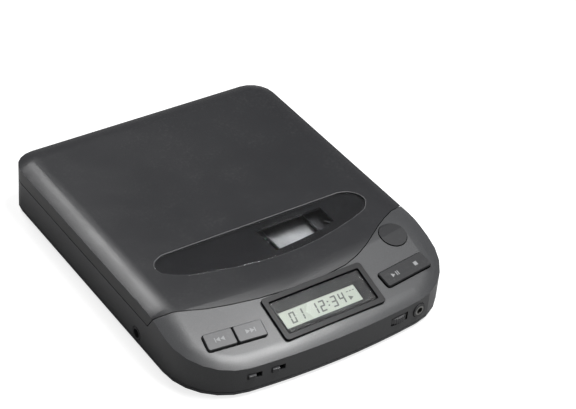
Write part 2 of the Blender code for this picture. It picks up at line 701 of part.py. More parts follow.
def build_turntable():
    """Platter with its hub and boss, the motor shaft and the claws that hold the disc."""
    boss_bottom = CHASSIS_TOP + RUNNING_GAP
    hub_top = PLATTER_TOP + HUB_HEIGHT
    bevel = HUB_RECESS / 2
    profile = ((SHAFT_RADIUS + ROD_PLAY, hub_top), (HUB_RADIUS - bevel, hub_top),
               (HUB_RADIUS, hub_top - bevel), (HUB_RADIUS, PLATTER_TOP), (PLATTER_RADIUS, PLATTER_TOP),
               (PLATTER_RADIUS, PLATTER_TOP - PLATTER_THICKNESS),
               (BOSS_RADIUS, PLATTER_TOP - PLATTER_THICKNESS), (BOSS_RADIUS, boss_bottom),
               (SHAFT_RADIUS + ROD_PLAY, boss_bottom))
    table = turned("turntable", profile, (0, SPINDLE_Y))
    middle = (0, SPINDLE_Y)
    claw_top = hub_top - bevel - RUNNING_GAP
    claw_bottom = claw_top - CLAW_HEIGHT
    claws = cylinder("disc_claws", CLAW_RING_RADIUS, claw_bottom, claw_top, middle)
    cut(table, cylinder("claw_ring_room", CLAW_RING_RADIUS + RUNNING_GAP, claw_bottom - RUNNING_GAP,
                        hub_top + OVERRUN, middle))
    for i in range(CLAW_COUNT):
        turn = Matrix.Translation((0, SPINDLE_Y, 0)) @ Matrix.Rotation(2 * math.pi * i / CLAW_COUNT, 4, "Z")
        claw = box("claw", (-CLAW_WIDTH / 2, CLAW_RING_RADIUS / 2, claw_bottom),
                   (CLAW_WIDTH / 2, HUB_RADIUS + CLAW_REACH, claw_top))
        room = box("claw_room", (-CLAW_WIDTH / 2 - RUNNING_GAP, CLAW_RING_RADIUS / 2,
                                 claw_bottom - RUNNING_GAP),
                   (CLAW_WIDTH / 2 + RUNNING_GAP, HUB_RADIUS + OVERRUN, hub_top + OVERRUN))
        join(claws, placed(claw, turn))
        cut(table, placed(room, turn))
    cut(claws, cylinder("claw_bore", SHAFT_RADIUS + RUNNING_GAP, claw_bottom - OVERRUN,
                        claw_top + OVERRUN, middle, SMALL_SIDES))
    as_part(table, (0.03, 0.03, 0.03), 0.45)
    hang_on(claws, (0, SPINDLE_Y, 0))
    as_part(claws, (0.75, 0.75, 0.73), 0.4)
    shaft = cylinder("spindle_shaft", SHAFT_RADIUS, CHASSIS_BOTTOM - MOTOR_HEIGHT, hub_top - ROD_PLAY,
                     (0, SPINDLE_Y), SMALL_SIDES)
    hang_on(shaft, (0, SPINDLE_Y, 0))
    as_part(shaft, (0.7, 0.7, 0.72), 0.25, 1)


def build_spindle_motor():
    top = CHASSIS_BOTTOM - SEAT_GAP
    bore = SHAFT_RADIUS + SHAFT_PLAY
    rim = MOTOR_RADIUS - HUB_RECESS
    profile = ((bore, top), (rim, top), (MOTOR_RADIUS, top - RUNNING_GAP),
               (MOTOR_RADIUS, top - MOTOR_HEIGHT + RUNNING_GAP), (rim, top - MOTOR_HEIGHT),
               (bore, top - MOTOR_HEIGHT))
    as_part(turned("spindle_motor", profile, (0, SPINDLE_Y)), (0.55, 0.55, 0.56), 0.35, 1)


# Dampers between the drive's chassis and the base
DAMPER_INSET = 5 * MM
DAMPER_FRONT_INSET = 12.8 * MM
DAMPER_REAR_X = 5 * MM
DAMPER_RADIUS = 3.2 * MM
DAMPER_NECK_RADIUS = 2.2 * MM
DAMPER_BORE_RADIUS = 1.5 * MM
DAMPER_HEIGHT = 1.8 * MM
DAMPER_CROWN = 0.9 * MM
DAMPER_POST_RADIUS = 2.6 * MM


def damper_spots():
    """Names and places of the three dampers."""
    front = CHASSIS_FRONT + DAMPER_FRONT_INSET
    return (("damper_front_left", (CHASSIS_LEFT + DAMPER_INSET, front)),
            ("damper_front_right", (CHASSIS_RIGHT - DAMPER_INSET, front)),
            ("damper_rear", (DAMPER_REAR_X, CHASSIS_REAR - DAMPER_INSET)))


def centred_rectangle(left, right, front, rear, radius):
    return rounded_rectangle(right - left, rear - front, radius, ((left + right) / 2, (front + rear) / 2))


def build_chassis():
    """Steel plate that carries the motors, the sled's rods and the turntable."""
    chassis = plate("mechanism_chassis", centred_rectangle(CHASSIS_LEFT, CHASSIS_RIGHT, CHASSIS_FRONT,
                                                           CHASSIS_REAR, CHASSIS_RADIUS),
                    CHASSIS_BOTTOM, CHASSIS_TOP)
    slot_front = ROD_FRONT_Y + LUG_THICKNESS / 2
    slot_rear = ROD_REAR_Y - LUG_THICKNESS / 2
    cut(chassis, plate("sled_slot", centred_rectangle(-SLOT_HALF_WIDTH, SLOT_HALF_WIDTH, slot_front,
                                                      slot_rear, OPENING_RADIUS / 3),
                       CHASSIS_BOTTOM - OVERRUN, CHASSIS_TOP + OVERRUN))
    cut(chassis, cylinder("chassis_boss_hole", BOSS_RADIUS + SHAFT_PLAY, CHASSIS_BOTTOM - OVERRUN,
                          CHASSIS_TOP + OVERRUN, (0, SPINDLE_Y), SMALL_SIDES))
    for name, spot in damper_spots():
        cut(chassis, cylinder("damper_hole", DAMPER_NECK_RADIUS + SEAT_GAP,
                              CHASSIS_BOTTOM - OVERRUN, CHASSIS_TOP + OVERRUN, spot, SMALL_SIDES))
    for x in (ROD_LEFT, ROD_RIGHT):
        for y in (ROD_FRONT_Y, ROD_REAR_Y):
            join(chassis, box("rod_lug", (x - LUG_HALF_WIDTH, y - LUG_THICKNESS / 2,
                                          ROD_Z - ROD_RADIUS - ROD_PLAY - LUG_THICKNESS / 2),
                              (x + LUG_HALF_WIDTH, y + LUG_THICKNESS / 2,
                               CHASSIS_BOTTOM + CHASSIS_THICKNESS / 2)))
            cut(chassis, cylinder("rod_hole", ROD_RADIUS + ROD_PLAY, y - LUG_THICKNESS,
                                  y + LUG_THICKNESS, (x, ROD_Z), SMALL_SIDES, "Y"))
    as_part(chassis, (0.62, 0.63, 0.65), 0.35, 1)

    for name, x in (("guide_rod_left", ROD_LEFT), ("guide_rod_right", ROD_RIGHT)):
        rod = cylinder(name, ROD_RADIUS, ROD_FRONT_Y - LUG_THICKNESS / 2, ROD_REAR_Y + LUG_THICKNESS / 2,
                       (x, ROD_Z), SMALL_SIDES, "Y")
        as_part(rod, (0.75, 0.75, 0.77), 0.2, 1)

    top = CHASSIS_TOP + SEAT_GAP + DAMPER_CROWN
    under = CHASSIS_BOTTOM - SEAT_GAP
    for name, spot in damper_spots():
        profile = ((DAMPER_BORE_RADIUS, top), (DAMPER_RADIUS, top), (DAMPER_RADIUS, CHASSIS_TOP + SEAT_GAP),
                   (DAMPER_NECK_RADIUS, CHASSIS_TOP + SEAT_GAP), (DAMPER_NECK_RADIUS, under),
                   (DAMPER_RADIUS, under), (DAMPER_RADIUS, under - DAMPER_HEIGHT),
                   (DAMPER_BORE_RADIUS, under - DAMPER_HEIGHT))
        as_part(turned(name, profile, spot, SMALL_SIDES), (0.04, 0.04, 0.04), 0.9)


# Gears of the sled drive
GEAR_MODULE = 0.6 * MM
PINION_TEETH = 14
WHEEL_TEETH = 30
DRIVER_TEETH = 8
TIP_SHARE = 0.8
ROOT_SHARE = 1.15
TOOTH_TIP_SHARE = 0.2
TOOTH_ROOT_SHARE = 0.62
GEAR_THICKNESS = 2 * MM
GEAR_POST_RADIUS = 1 * MM
GEAR_MESH_ANGLE = math.radians(75)
RACK_WIDTH = 2 * MM
RACK_SPARE_TEETH = 3
PINION_RADIUS = GEAR_MODULE * PINION_TEETH / 2
WHEEL_RADIUS = GEAR_MODULE * WHEEL_TEETH / 2
DRIVER_RADIUS = GEAR_MODULE * DRIVER_TEETH / 2
RACK_PITCH = math.pi * GEAR_MODULE
RACK_LINE_X = SLED_RIGHT + RACK_WIDTH + GEAR_MODULE
GEAR_X = RACK_LINE_X + PINION_RADIUS
GEAR_AHEAD = 8.17 * MM
GEAR_Y = LENS_Y - GEAR_AHEAD
DRIVER_X = GEAR_X + (WHEEL_RADIUS + DRIVER_RADIUS) * math.cos(GEAR_MESH_ANGLE)
DRIVER_Y = GEAR_Y + (WHEEL_RADIUS + DRIVER_RADIUS) * math.sin(GEAR_MESH_ANGLE)
PINION_BOTTOM = SLED_BOTTOM + RUNNING_GAP
WHEEL_BOTTOM = PINION_BOTTOM - GEAR_THICKNESS - 2 * RUNNING_GAP
SLED_MOTOR_RADIUS = 6 * MM
DRIVER_BORE_RADIUS = 0.7 * MM


def gear_outline(teeth, turn=0):
    """Outline of a small gear about the origin; turn is where its first tooth points."""
    pitch_radius = GEAR_MODULE * teeth / 2
    step = 2 * math.pi / teeth
    points = []
    for i in range(teeth):
        middle = turn + i * step
        for share, radius in ((-TOOTH_ROOT_SHARE, pitch_radius - ROOT_SHARE * GEAR_MODULE),
                              (-TOOTH_TIP_SHARE, pitch_radius + TIP_SHARE * GEAR_MODULE),
                              (TOOTH_TIP_SHARE, pitch_radius + TIP_SHARE * GEAR_MODULE),
                              (TOOTH_ROOT_SHARE, pitch_radius - ROOT_SHARE * GEAR_MODULE)):
            angle = middle + share * step / 2
            points.append((radius * math.cos(angle), radius * math.sin(angle)))
    return points


def moved(points, spot):
    return [(x + spot[0], y + spot[1]) for x, y in points]


def build_gears():
    """Double gear on its post, and the driver gear on the sled motor's shaft."""
    spot = (GEAR_X, GEAR_Y)
    gear = plate("feed_gear", moved(gear_outline(PINION_TEETH, math.pi), spot),
                 PINION_BOTTOM - 3 * RUNNING_GAP, PINION_BOTTOM + GEAR_THICKNESS)
    join(gear, plate("feed_wheel", moved(gear_outline(WHEEL_TEETH, GEAR_MESH_ANGLE), spot),
                     WHEEL_BOTTOM, WHEEL_BOTTOM + GEAR_THICKNESS))
    cut(gear, cylinder("feed_gear_bore", GEAR_POST_RADIUS + ROD_PLAY, WHEEL_BOTTOM - OVERRUN,
                       PINION_BOTTOM + GEAR_THICKNESS + OVERRUN, spot, SMALL_SIDES))
    hang_on(gear, (GEAR_X, GEAR_Y, 0))
    as_part(gear, (0.85, 0.85, 0.82), 0.5)
    post = cylinder("feed_gear_post", GEAR_POST_RADIUS, WHEEL_BOTTOM, CHASSIS_BOTTOM - SEAT_GAP,
                    spot, SMALL_SIDES)
    as_part(post, (0.7, 0.7, 0.72), 0.3, 1)

    half_tooth = math.pi / DRIVER_TEETH
    spot = (DRIVER_X, DRIVER_Y)
    driver = plate("sled_motor_gear", moved(gear_outline(DRIVER_TEETH, GEAR_MESH_ANGLE + math.pi
                                                         + half_tooth), spot),
                   WHEEL_BOTTOM, WHEEL_BOTTOM + GEAR_THICKNESS)
    cut(driver, cylinder("driver_bore", DRIVER_BORE_RADIUS + ROD_PLAY, WHEEL_BOTTOM - OVERRUN,
                         WHEEL_BOTTOM + GEAR_THICKNESS + OVERRUN, spot, SMALL_SIDES))
    hang_on(driver, (DRIVER_X, DRIVER_Y, 0))
    as_part(driver, (0.8, 0.62, 0.3), 0.35, 1)
    can_top = CHASSIS_BOTTOM - SEAT_GAP
    can_bottom = WHEEL_BOTTOM + GEAR_THICKNESS + 2 * RUNNING_GAP
    profile = ((0, can_top), (SLED_MOTOR_RADIUS, can_top), (SLED_MOTOR_RADIUS, can_bottom),
               (DRIVER_BORE_RADIUS, can_bottom), (DRIVER_BORE_RADIUS, WHEEL_BOTTOM), (0, WHEEL_BOTTOM))
    as_part(turned("sled_motor", profile, spot), (0.6, 0.6, 0.62), 0.3, 1)


def build_sled():
    """Pickup sled with its rack, the lens holder and the lens."""
    sled = box("pickup_sled", (SLED_LEFT, SLED_FRONT, SLED_BOTTOM),
               (SLED_RIGHT, SLED_FRONT + SLED_DEPTH, SLED_TOP))
    neck_top = WELL_UNDERSIDE - RUNNING_GAP
    join(sled, box("sled_neck", (-NECK_HALF_WIDTH, SLED_FRONT, SLED_TOP - NECK_DROP),
                   (NECK_HALF_WIDTH, SLED_FRONT + NECK_DEPTH, neck_top)))
    for x in (ROD_LEFT, ROD_RIGHT):
        cut(sled, cylinder("sled_bore", ROD_RADIUS + ROD_PLAY, SLED_FRONT - OVERRUN,
                           SLED_FRONT + SLED_DEPTH + OVERRUN, (x, ROD_Z), SMALL_SIDES, "Y"))
    rack_front = GEAR_Y - RACK_SPARE_TEETH * RACK_PITCH / 2
    teeth = math.ceil(LENS_TRAVEL / RACK_PITCH) + RACK_SPARE_TEETH
    back = SLED_RIGHT - RACK_WIDTH / 2
    outline = [(back, rack_front)]
    for i in range(teeth):
        middle = rack_front + (i + 1) * RACK_PITCH
        for share, depth in ((-TOOTH_ROOT_SHARE, -ROOT_SHARE), (-TOOTH_TIP_SHARE, TIP_SHARE),
                             (TOOTH_TIP_SHARE, TIP_SHARE), (TOOTH_ROOT_SHARE, -ROOT_SHARE)):
            outline.append((RACK_LINE_X + depth * GEAR_MODULE, middle + share * RACK_PITCH / 2))
    outline.append((RACK_LINE_X - ROOT_SHARE * GEAR_MODULE, rack_front + (teeth + 1) * RACK_PITCH))
    outline.append((back, rack_front + (teeth + 1) * RACK_PITCH))
    outline.insert(1, (RACK_LINE_X - ROOT_SHARE * GEAR_MODULE, rack_front))
    join(sled, plate("sled_rack", outline, PINION_BOTTOM, PINION_BOTTOM + GEAR_THICKNESS))
    hang_on(sled, (0, LENS_Y, 0))
    as_part(sled, (0.6, 0.61, 0.63), 0.4, 1)

    holder_top = WELL_FLOOR + RUNNING_GAP
    holder_bottom = neck_top + SEAT_GAP
    profile = ((LENS_RADIUS + ROD_PLAY, holder_top), (HOLDER_RADIUS, holder_top),
               (HOLDER_RADIUS, holder_bottom), (LENS_RADIUS + ROD_PLAY, holder_bottom))
    as_part(turned("lens_holder", profile, (0, LENS_Y), SMALL_SIDES), (0.02, 0.02, 0.02), 0.5)
    crown = holder_top + RUNNING_GAP
    profile = ((0, crown), (LENS_RADIUS / 2, crown - ROD_PLAY / 3), (LENS_RADIUS, crown - ROD_PLAY * 2),
               (LENS_RADIUS, holder_bottom), (0, holder_bottom))
    as_part(turned("objective_lens", profile, (0, LENS_Y), SMALL_SIDES), (0.45, 0.55, 0.75), 0.05)


# Battery bay, its door and its contacts
CELL_DIAMETER = 14.5 * MM
CELL_PAIR_LENGTH = 101 * MM
CONTACT_ROOM = 7.4 * MM
BAY_WALL = 1.2 * MM
BAY_INSET = 6.6 * MM
BAY_REAR = REAR_Y - BAY_INSET
BAY_CLEARANCE = 0.7 * MM
DOOR_THICKNESS = 1.2 * MM
DOOR_MARGIN = 1 * MM
DOOR_GROOVES = 3
BAY_HALF = (CELL_PAIR_LENGTH + CONTACT_ROOM) / 2
BAY_FRONT = BAY_REAR - CELL_DIAMETER - BAY_CLEARANCE
DOOR_HALF = CELL_PAIR_LENGTH / 2 + DOOR_MARGIN
CONTACT_THICKNESS = 0.4 * MM
CONTACT_SIZE = 10 * MM
SPRING_WIRE = 0.35 * MM
SPRING_TURNS = 4
SPRING_TURN_POINTS = 9
SPRING_BIG_RADIUS = 4.6 * MM
SPRING_SMALL_RADIUS = 2.4 * MM
SPRING_LENGTH = 5 * MM


def build_battery_parts():
    door = envelope("battery_door", pan_round=PAN_ROUND, roof=PAN_TOP)
    clip(door, box("door_zone", (-DOOR_HALF, BAY_FRONT, 0),
                   (DOOR_HALF, REAR_Y + OVERRUN, CASE_HEIGHT)))
    cut(door, box("door_hollow", (-HALF_WIDTH, 0, FOOT_HEIGHT + DOOR_THICKNESS),
                  (HALF_WIDTH, REAR_Y - WALL, CASE_HEIGHT)))
    for i in range(DOOR_GROOVES):
        y = BAY_FRONT + CELL_DIAMETER / 3 + i * OVERRUN
        cut(door, box("grip_groove", (-CONTACT_SIZE, y, 0),
                      (CONTACT_SIZE, y + OVERRUN / 2, FOOT_HEIGHT + RUNNING_GAP)))
    as_part(door, (0.03, 0.03, 0.035), 0.55)

    middle_y = (BAY_FRONT + BAY_REAR) / 2
    middle_z = (FOOT_HEIGHT + DOOR_THICKNESS + WELL_UNDERSIDE) / 2
    edge = BAY_HALF - RUNNING_GAP
    contact = box("battery_plate", (edge - CONTACT_THICKNESS, middle_y - CONTACT_SIZE / 2,
                                    middle_z - CONTACT_SIZE / 2),
                  (edge, middle_y + CONTACT_SIZE / 2, middle_z + CONTACT_SIZE / 2))
    as_part(contact, (0.75, 0.73, 0.68), 0.25, 1)

    start = -edge + SPRING_WIRE
    points = []
    count = SPRING_TURNS * SPRING_TURN_POINTS
    for i in range(count + 1):
        share = i / count
        angle = 2 * math.pi * i / SPRING_TURN_POINTS
        radius = SPRING_BIG_RADIUS + (SPRING_SMALL_RADIUS - SPRING_BIG_RADIUS) * share
        points.append(Vector((start + (SPRING_LENGTH - 2 * SPRING_WIRE) * share,
                              middle_y + radius * math.cos(angle), middle_z + radius * math.sin(angle))))
    far = [(points[i] - points[j]).length for i in range(count + 1) for j in range(i)
           if i - j > SPRING_TURN_POINTS / 2]
    print("battery spring least gap to itself, mm:", round((min(far) - 2 * SPRING_WIRE) / MM, 2))
    as_part(tube("battery_spring", points, SPRING_WIRE), (0.8, 0.78, 0.72), 0.25, 1)


# Screws that close the case
SCREW_SIDE_INSET = 8 * MM
SCREW_REAR_INSET = 31 * MM
SCREW_FRONT_INSET = 29.5 * MM
SCREW_X = HALF_WIDTH - SCREW_SIDE_INSET
SCREW_REAR_Y = REAR_Y - SCREW_REAR_INSET
SCREW_FRONT_Y = FRONT_Y + SCREW_FRONT_INSET
SCREW_RADIUS = 1 * MM
SCREW_HEAD_RADIUS = 2.2 * MM
SCREW_HEAD_HEIGHT = 1.3 * MM
SCREW_SINK = 0.4 * MM
SCREW_LENGTH = 11 * MM
POST_RADIUS = 3 * MM
BOSS_HEIGHT = 4 * MM
BOSS_TOP = FLOOR_TOP + BOSS_HEIGHT
SCREW_HEAD_TOP = FOOT_HEIGHT + SCREW_SINK + SCREW_HEAD_HEIGHT
BOSS_OUTER = 3.6 * MM


def screw_spots():
    return [(side * SCREW_X, y) for side in (-1, 1) for y in (SCREW_REAR_Y, SCREW_FRONT_Y)]


# Feet
FOOT_RADIUS = 4 * MM
FOOT_REAR_SIDE_INSET = 8 * MM
FOOT_REAR_INSET = 17 * MM
FOOT_FRONT_SIDE_INSET = 21 * MM
FOOT_FRONT_INSET = 19 * MM
FOOT_REAR_X = HALF_WIDTH - FOOT_REAR_SIDE_INSET
FOOT_REAR_Y = REAR_Y - FOOT_REAR_INSET
FOOT_FRONT_X = HALF_WIDTH - FOOT_FRONT_SIDE_INSET
FOOT_FRONT_Y = FRONT_Y + FOOT_FRONT_INSET
FOOT_ROUND = 0.3 * MM
FOOT_SEAT = 0.8 * MM
FOOT_SPOTS = ((-FOOT_REAR_X, FOOT_REAR_Y), (FOOT_REAR_X, FOOT_REAR_Y),
              (-FOOT_FRONT_X, FOOT_FRONT_Y), (FOOT_FRONT_X, FOOT_FRONT_Y))


def build_base():
    """Bottom pan with its bay, bosses and openings, its feet and its screws."""
    base = envelope("bottom_case", roof=PAN_TOP, pan_round=PAN_ROUND)
    cut(base, envelope("pan_hollow", inset=WALL, low=FLOOR_TOP, roof=PAN_TOP + OVERRUN))
    bay = box("bay_walls", (-BAY_HALF - BAY_WALL, BAY_FRONT - BAY_WALL, FLOOR_TOP - FLOOR_WALL / 2),
              (BAY_HALF + BAY_WALL, BAY_REAR + BAY_WALL, WELL_UNDERSIDE - RUNNING_GAP))
    cut(bay, box("bay_room", (-BAY_HALF, BAY_FRONT, FOOT_HEIGHT),
                 (BAY_HALF, BAY_REAR, WELL_UNDERSIDE + OVERRUN)))
    join(base, bay)
    for spot in screw_spots():
        join(base, cylinder("screw_boss", BOSS_OUTER, FLOOR_TOP - FLOOR_WALL / 2, BOSS_TOP, spot,
                            SMALL_SIDES))
    post_top = CHASSIS_BOTTOM - DAMPER_HEIGHT - 2 * SEAT_GAP
    for name, spot in damper_spots():
        join(base, cylinder(name + "_post", DAMPER_POST_RADIUS, FLOOR_TOP - FLOOR_WALL / 2, post_top, spot,
                            SMALL_SIDES))
        join(base, cylinder(name + "_peg", DAMPER_BORE_RADIUS - SEAT_GAP, post_top - FLOOR_WALL,
                            CHASSIS_TOP + SEAT_GAP, spot, SMALL_SIDES))
    for spot in standoff_spots():
        join(base, cylinder("standoff", STANDOFF_RADIUS, FLOOR_TOP - FLOOR_WALL / 2,
                            BOARD_BOTTOM - SEAT_GAP, spot, SMALL_SIDES))
    for spot in screw_spots():
        cut(base, cylinder("head_hole", SCREW_HEAD_RADIUS + RUNNING_GAP, 0, SCREW_HEAD_TOP + RUNNING_GAP,
                           spot, SMALL_SIDES))
        cut(base, cylinder("shank_hole", SCREW_RADIUS + RUNNING_GAP, 0, BOSS_TOP + OVERRUN, spot,
                           SMALL_SIDES))
    for spot in FOOT_SPOTS:
        cut(base, cylinder("foot_seat", FOOT_RADIUS + RUNNING_GAP, 0, FOOT_HEIGHT + FOOT_SEAT, spot,
                           SMALL_SIDES))
    cut(base, box("door_opening", (-DOOR_HALF - RUNNING_GAP, BAY_FRONT - RUNNING_GAP, 0),
                  (DOOR_HALF + RUNNING_GAP, REAR_Y + OVERRUN, FLOOR_TOP)))
    cut(base, box("door_edge_room", (-DOOR_HALF - RUNNING_GAP, BAY_REAR + BAY_WALL, 0),
                  (DOOR_HALF + RUNNING_GAP, REAR_Y + OVERRUN, CASE_HEIGHT)))
    as_part(base, (0.03, 0.031, 0.035), 0.55)

    top = FOOT_HEIGHT + FOOT_SEAT - SEAT_GAP
    for spot in FOOT_SPOTS:
        profile = ((0, top), (FOOT_RADIUS, top), (FOOT_RADIUS, FOOT_ROUND),
                   (FOOT_RADIUS - FOOT_ROUND, 0), (0, 0))
        foot = turned(spot_name("rubber_foot", spot), profile, spot, SMALL_SIDES)
        as_part(foot, (0.02, 0.02, 0.02), 0.9)

    low = FOOT_HEIGHT + SCREW_SINK
    for spot in screw_spots():
        profile = ((0, low + SCREW_LENGTH), (SCREW_RADIUS, low + SCREW_LENGTH),
                   (SCREW_RADIUS, SCREW_HEAD_TOP), (SCREW_HEAD_RADIUS, SCREW_HEAD_TOP),
                   (SCREW_HEAD_RADIUS, low), (0, low))
        screw = turned(spot_name("case_screw", spot), profile, spot, SMALL_SIDES)
        for width, depth in ((SCREW_RADIUS, FOOT_ROUND), (FOOT_ROUND, SCREW_RADIUS)):
            cut(screw, box("screw_cross", (spot[0] - width, spot[1] - depth, 0),
                           (spot[0] + width, spot[1] + depth, low + SCREW_SINK)))
        as_part(screw, (0.25, 0.25, 0.26), 0.35, 1)


# Controls on the deck, each placed by its spot on the deck
KEY_LIFT = 1.1 * MM
KEY_GAP = 0.5 * MM
KEY_DEPTH = 7.6 * MM
KEY_RADIUS = 1.8 * MM
KEY_EDGE = 0.35 * MM
KEY_FLANGE = 0.6 * MM
KEY_FLANGE_THICKNESS = 0.6 * MM
KEY_TRAVEL = 0.6 * MM
KEY_HOLE_GAP = 0.45 * MM
LEFT_KEYS_INSET = 24.5 * MM
RIGHT_KEY_INSET = 22.2 * MM
KEYS_FRONT_INSET = 16.2 * MM
LEFT_KEYS_X = -HALF_WIDTH + LEFT_KEYS_INSET
RIGHT_KEY_X = HALF_WIDTH - RIGHT_KEY_INSET
KEYS_Y = FRONT_Y + KEYS_FRONT_INSET
LEFT_KEYS_WIDTH = 25.6 * MM
RIGHT_KEY_WIDTH = 24.6 * MM
ROCKER_FLANGE_HALF = 4 * MM
MAT_THICKNESS = 0.6 * MM
DOME_HEIGHT = 1 * MM
DOME_RADIUS = 2.4 * MM
KEY_BOARD_ROOM = 1 * MM
KEY_BOARD_INSET = 13 * MM
KEY_BOARD_HALF_WIDTH = HALF_WIDTH - KEY_BOARD_INSET
KEY_BOARD_HALF_DEPTH = 6.2 * MM
BOARD_THICKNESS = 1 * MM
BUTTON_SIDE_INSET = 16.2 * MM
BUTTON_FRONT_INSET = 33 * MM
BUTTON_X = HALF_WIDTH - BUTTON_SIDE_INSET
BUTTON_Y = FRONT_Y + BUTTON_FRONT_INSET
BUTTON_RADIUS = 6.1 * MM
BUTTON_LIFT = 0.4 * MM
BUTTON_STEM_RADIUS = 1.4 * MM
KEY_UNDERSIDE = -WALL - RUNNING_GAP
FLANGE_BOTTOM = KEY_UNDERSIDE - KEY_FLANGE_THICKNESS
DOME_TOP = FLANGE_BOTTOM - KEY_TRAVEL - RUNNING_GAP / 2
KEY_BOARD_TOP = DOME_TOP - DOME_HEIGHT - MAT_THICKNESS - SEAT_GAP - KEY_BOARD_ROOM
KEY_BOARD_BOTTOM = KEY_BOARD_TOP - BOARD_THICKNESS


def key_spans():
    """Local X spans of the two skip keys about the middle of their hole."""
    half = LEFT_KEYS_WIDTH / 2
    return (("skip_back_key", -half, -KEY_GAP / 2), ("skip_forward_key", KEY_GAP / 2, half))


def key_solid(name, left, right, frame, flange_left, flange_right):
    """A key cap with a flange that keeps it under the deck."""
    cap = plate(name, centred_rectangle(left, right, -KEY_DEPTH / 2, KEY_DEPTH / 2, KEY_RADIUS / 2),
                FLANGE_BOTTOM, KEY_LIFT)
    soften(cap, KEY_EDGE)
    reach = KEY_DEPTH / 2 + KEY_FLANGE + KEY_HOLE_GAP
    join(cap, placed(box(name + "_flange", (flange_left, -reach, FLANGE_BOTTOM),
                         (flange_right, reach, KEY_UNDERSIDE)), frame))
    return placed(cap, frame)


def key_hole(name, width, frame):
    return placed(plate(name, rounded_rectangle(width + 2 * KEY_HOLE_GAP, KEY_DEPTH + 2 * KEY_HOLE_GAP,
                                                 KEY_RADIUS), KEY_BOARD_BOTTOM, KEY_LIFT + OVERRUN), frame)


def build_keys():
    frame = deck_frame(LEFT_KEYS_X, KEYS_Y)
    for name, left, right in key_spans():
        as_part(key_solid(name, left, right, frame, left, right), (0.13, 0.13, 0.135), 0.45)
    frame = deck_frame(RIGHT_KEY_X, KEYS_Y)
    half = RIGHT_KEY_WIDTH / 2
    rocker = key_solid("play_stop_rocker", -half, half, frame, -ROCKER_FLANGE_HALF, ROCKER_FLANGE_HALF)
    as_part(rocker, (0.05, 0.05, 0.052), 0.4)

    frame = deck_frame(BUTTON_X, BUTTON_Y)
    stem = BUTTON_STEM_RADIUS
    crown = BUTTON_LIFT + OVERRUN
    profile = ((0, crown), (BUTTON_RADIUS, crown), (BUTTON_RADIUS, KEY_UNDERSIDE),
               (BUTTON_RADIUS + KEY_FLANGE, KEY_UNDERSIDE), (BUTTON_RADIUS + KEY_FLANGE, FLANGE_BOTTOM),
               (stem, FLANGE_BOTTOM), (stem, -stem_length()), (0, -stem_length()))
    button = placed(turned("open_button", profile), frame)
    clip(button, envelope("button_roof", roof_drop=-BUTTON_LIFT, roof=CASE_HEIGHT + BUTTON_LIFT))
    as_part(button, (0.045, 0.046, 0.048), 0.45)


def stem_length():
    """Depth of the open button's stem end below the deck, where it meets the latch slide's ramp."""
    frame = deck_frame(BUTTON_X, BUTTON_Y)
    return (frame.translation.z - LATCH_TOP - LATCH_RAMP) / frame.col[2].z


# Latch slide under the deck
LATCH_TOP = LINER_TOP - CATCH_REACH + BARB_HEIGHT + RUNNING_GAP + LATCH_THICKNESS
LATCH_BOTTOM = LATCH_TOP - LATCH_THICKNESS
LATCH_RAMP = 2.4 * MM
LATCH_HALF_WIDTH = 3 * MM
LATCH_LIP = 2.4 * MM
LATCH_BACK = 0.8 * MM
LATCH_CLEARANCE = 0.5 * MM


def build_latch():
    """Slide with a ramp below the open button and a lip behind the catch's barb."""
    end = deck_frame(BUTTON_X, BUTTON_Y) @ Vector((0, 0, -stem_length()))
    lip_front = CATCH_Y + CATCH_STEM / 2 + BARB_DEPTH + RUNNING_GAP
    lip_rear = lip_front + LATCH_LIP
    slide = box("latch_slide", (end.x - LATCH_HALF_WIDTH, end.y - LATCH_HALF_WIDTH, LATCH_BOTTOM),
                (end.x + LATCH_HALF_WIDTH, lip_rear, LATCH_TOP))
    join(slide, box("latch_lip", (CATCH_X - CATCH_WIDTH / 2, lip_front, LATCH_BOTTOM),
                    (end.x, lip_rear, LATCH_TOP)))
    pivot = Vector((end.x, end.y + BUTTON_STEM_RADIUS + LATCH_CLEARANCE, LATCH_TOP + LATCH_RAMP))
    ramp = box("latch_ramp", (end.x - LATCH_HALF_WIDTH / 2, pivot.y - LATCH_RAMP - LATCH_THICKNESS,
                              LATCH_TOP - LATCH_THICKNESS / 2),
               (end.x + LATCH_HALF_WIDTH / 2, pivot.y + LATCH_BACK, pivot.z))
    reach = 4 * LATCH_HALF_WIDTH
    slope = box("ramp_slope", (-reach, -reach, 0), (reach, reach, reach))
    cut(ramp, placed(slope, Matrix.Translation(pivot) @ Matrix.Rotation(math.pi / 4, 4, "X")))
    join(slide, ramp)
    as_part(slide, (0.7, 0.7, 0.68), 0.5)


# Display in the deck
LCD_X = 1.5 * MM
LCD_FRONT_INSET = 15.7 * MM
LCD_Y = FRONT_Y + LCD_FRONT_INSET
BEZEL_WIDTH = 49 * MM
BEZEL_DEPTH = 21 * MM
BEZEL_RADIUS = 1.6 * MM
BEZEL_LIFT = 1 * MM
BEZEL_FLANGE = 0.7 * MM
BEZEL_LIP = 1.6 * MM
BEZEL_FRAME = 1 * MM
LENS_SINK = 0.6 * MM
LENS_THICKNESS = 0.8 * MM
DISPLAY_WIDTH = 40 * MM
DISPLAY_DEPTH = 12 * MM
DISPLAY_SHIFT = -1.2 * MM


def bezel_rectangle(shrink):
    return rounded_rectangle(BEZEL_WIDTH - 2 * shrink, BEZEL_DEPTH - 2 * shrink,
                             max(BEZEL_RADIUS - shrink / 2, BEZEL_RADIUS / 3))


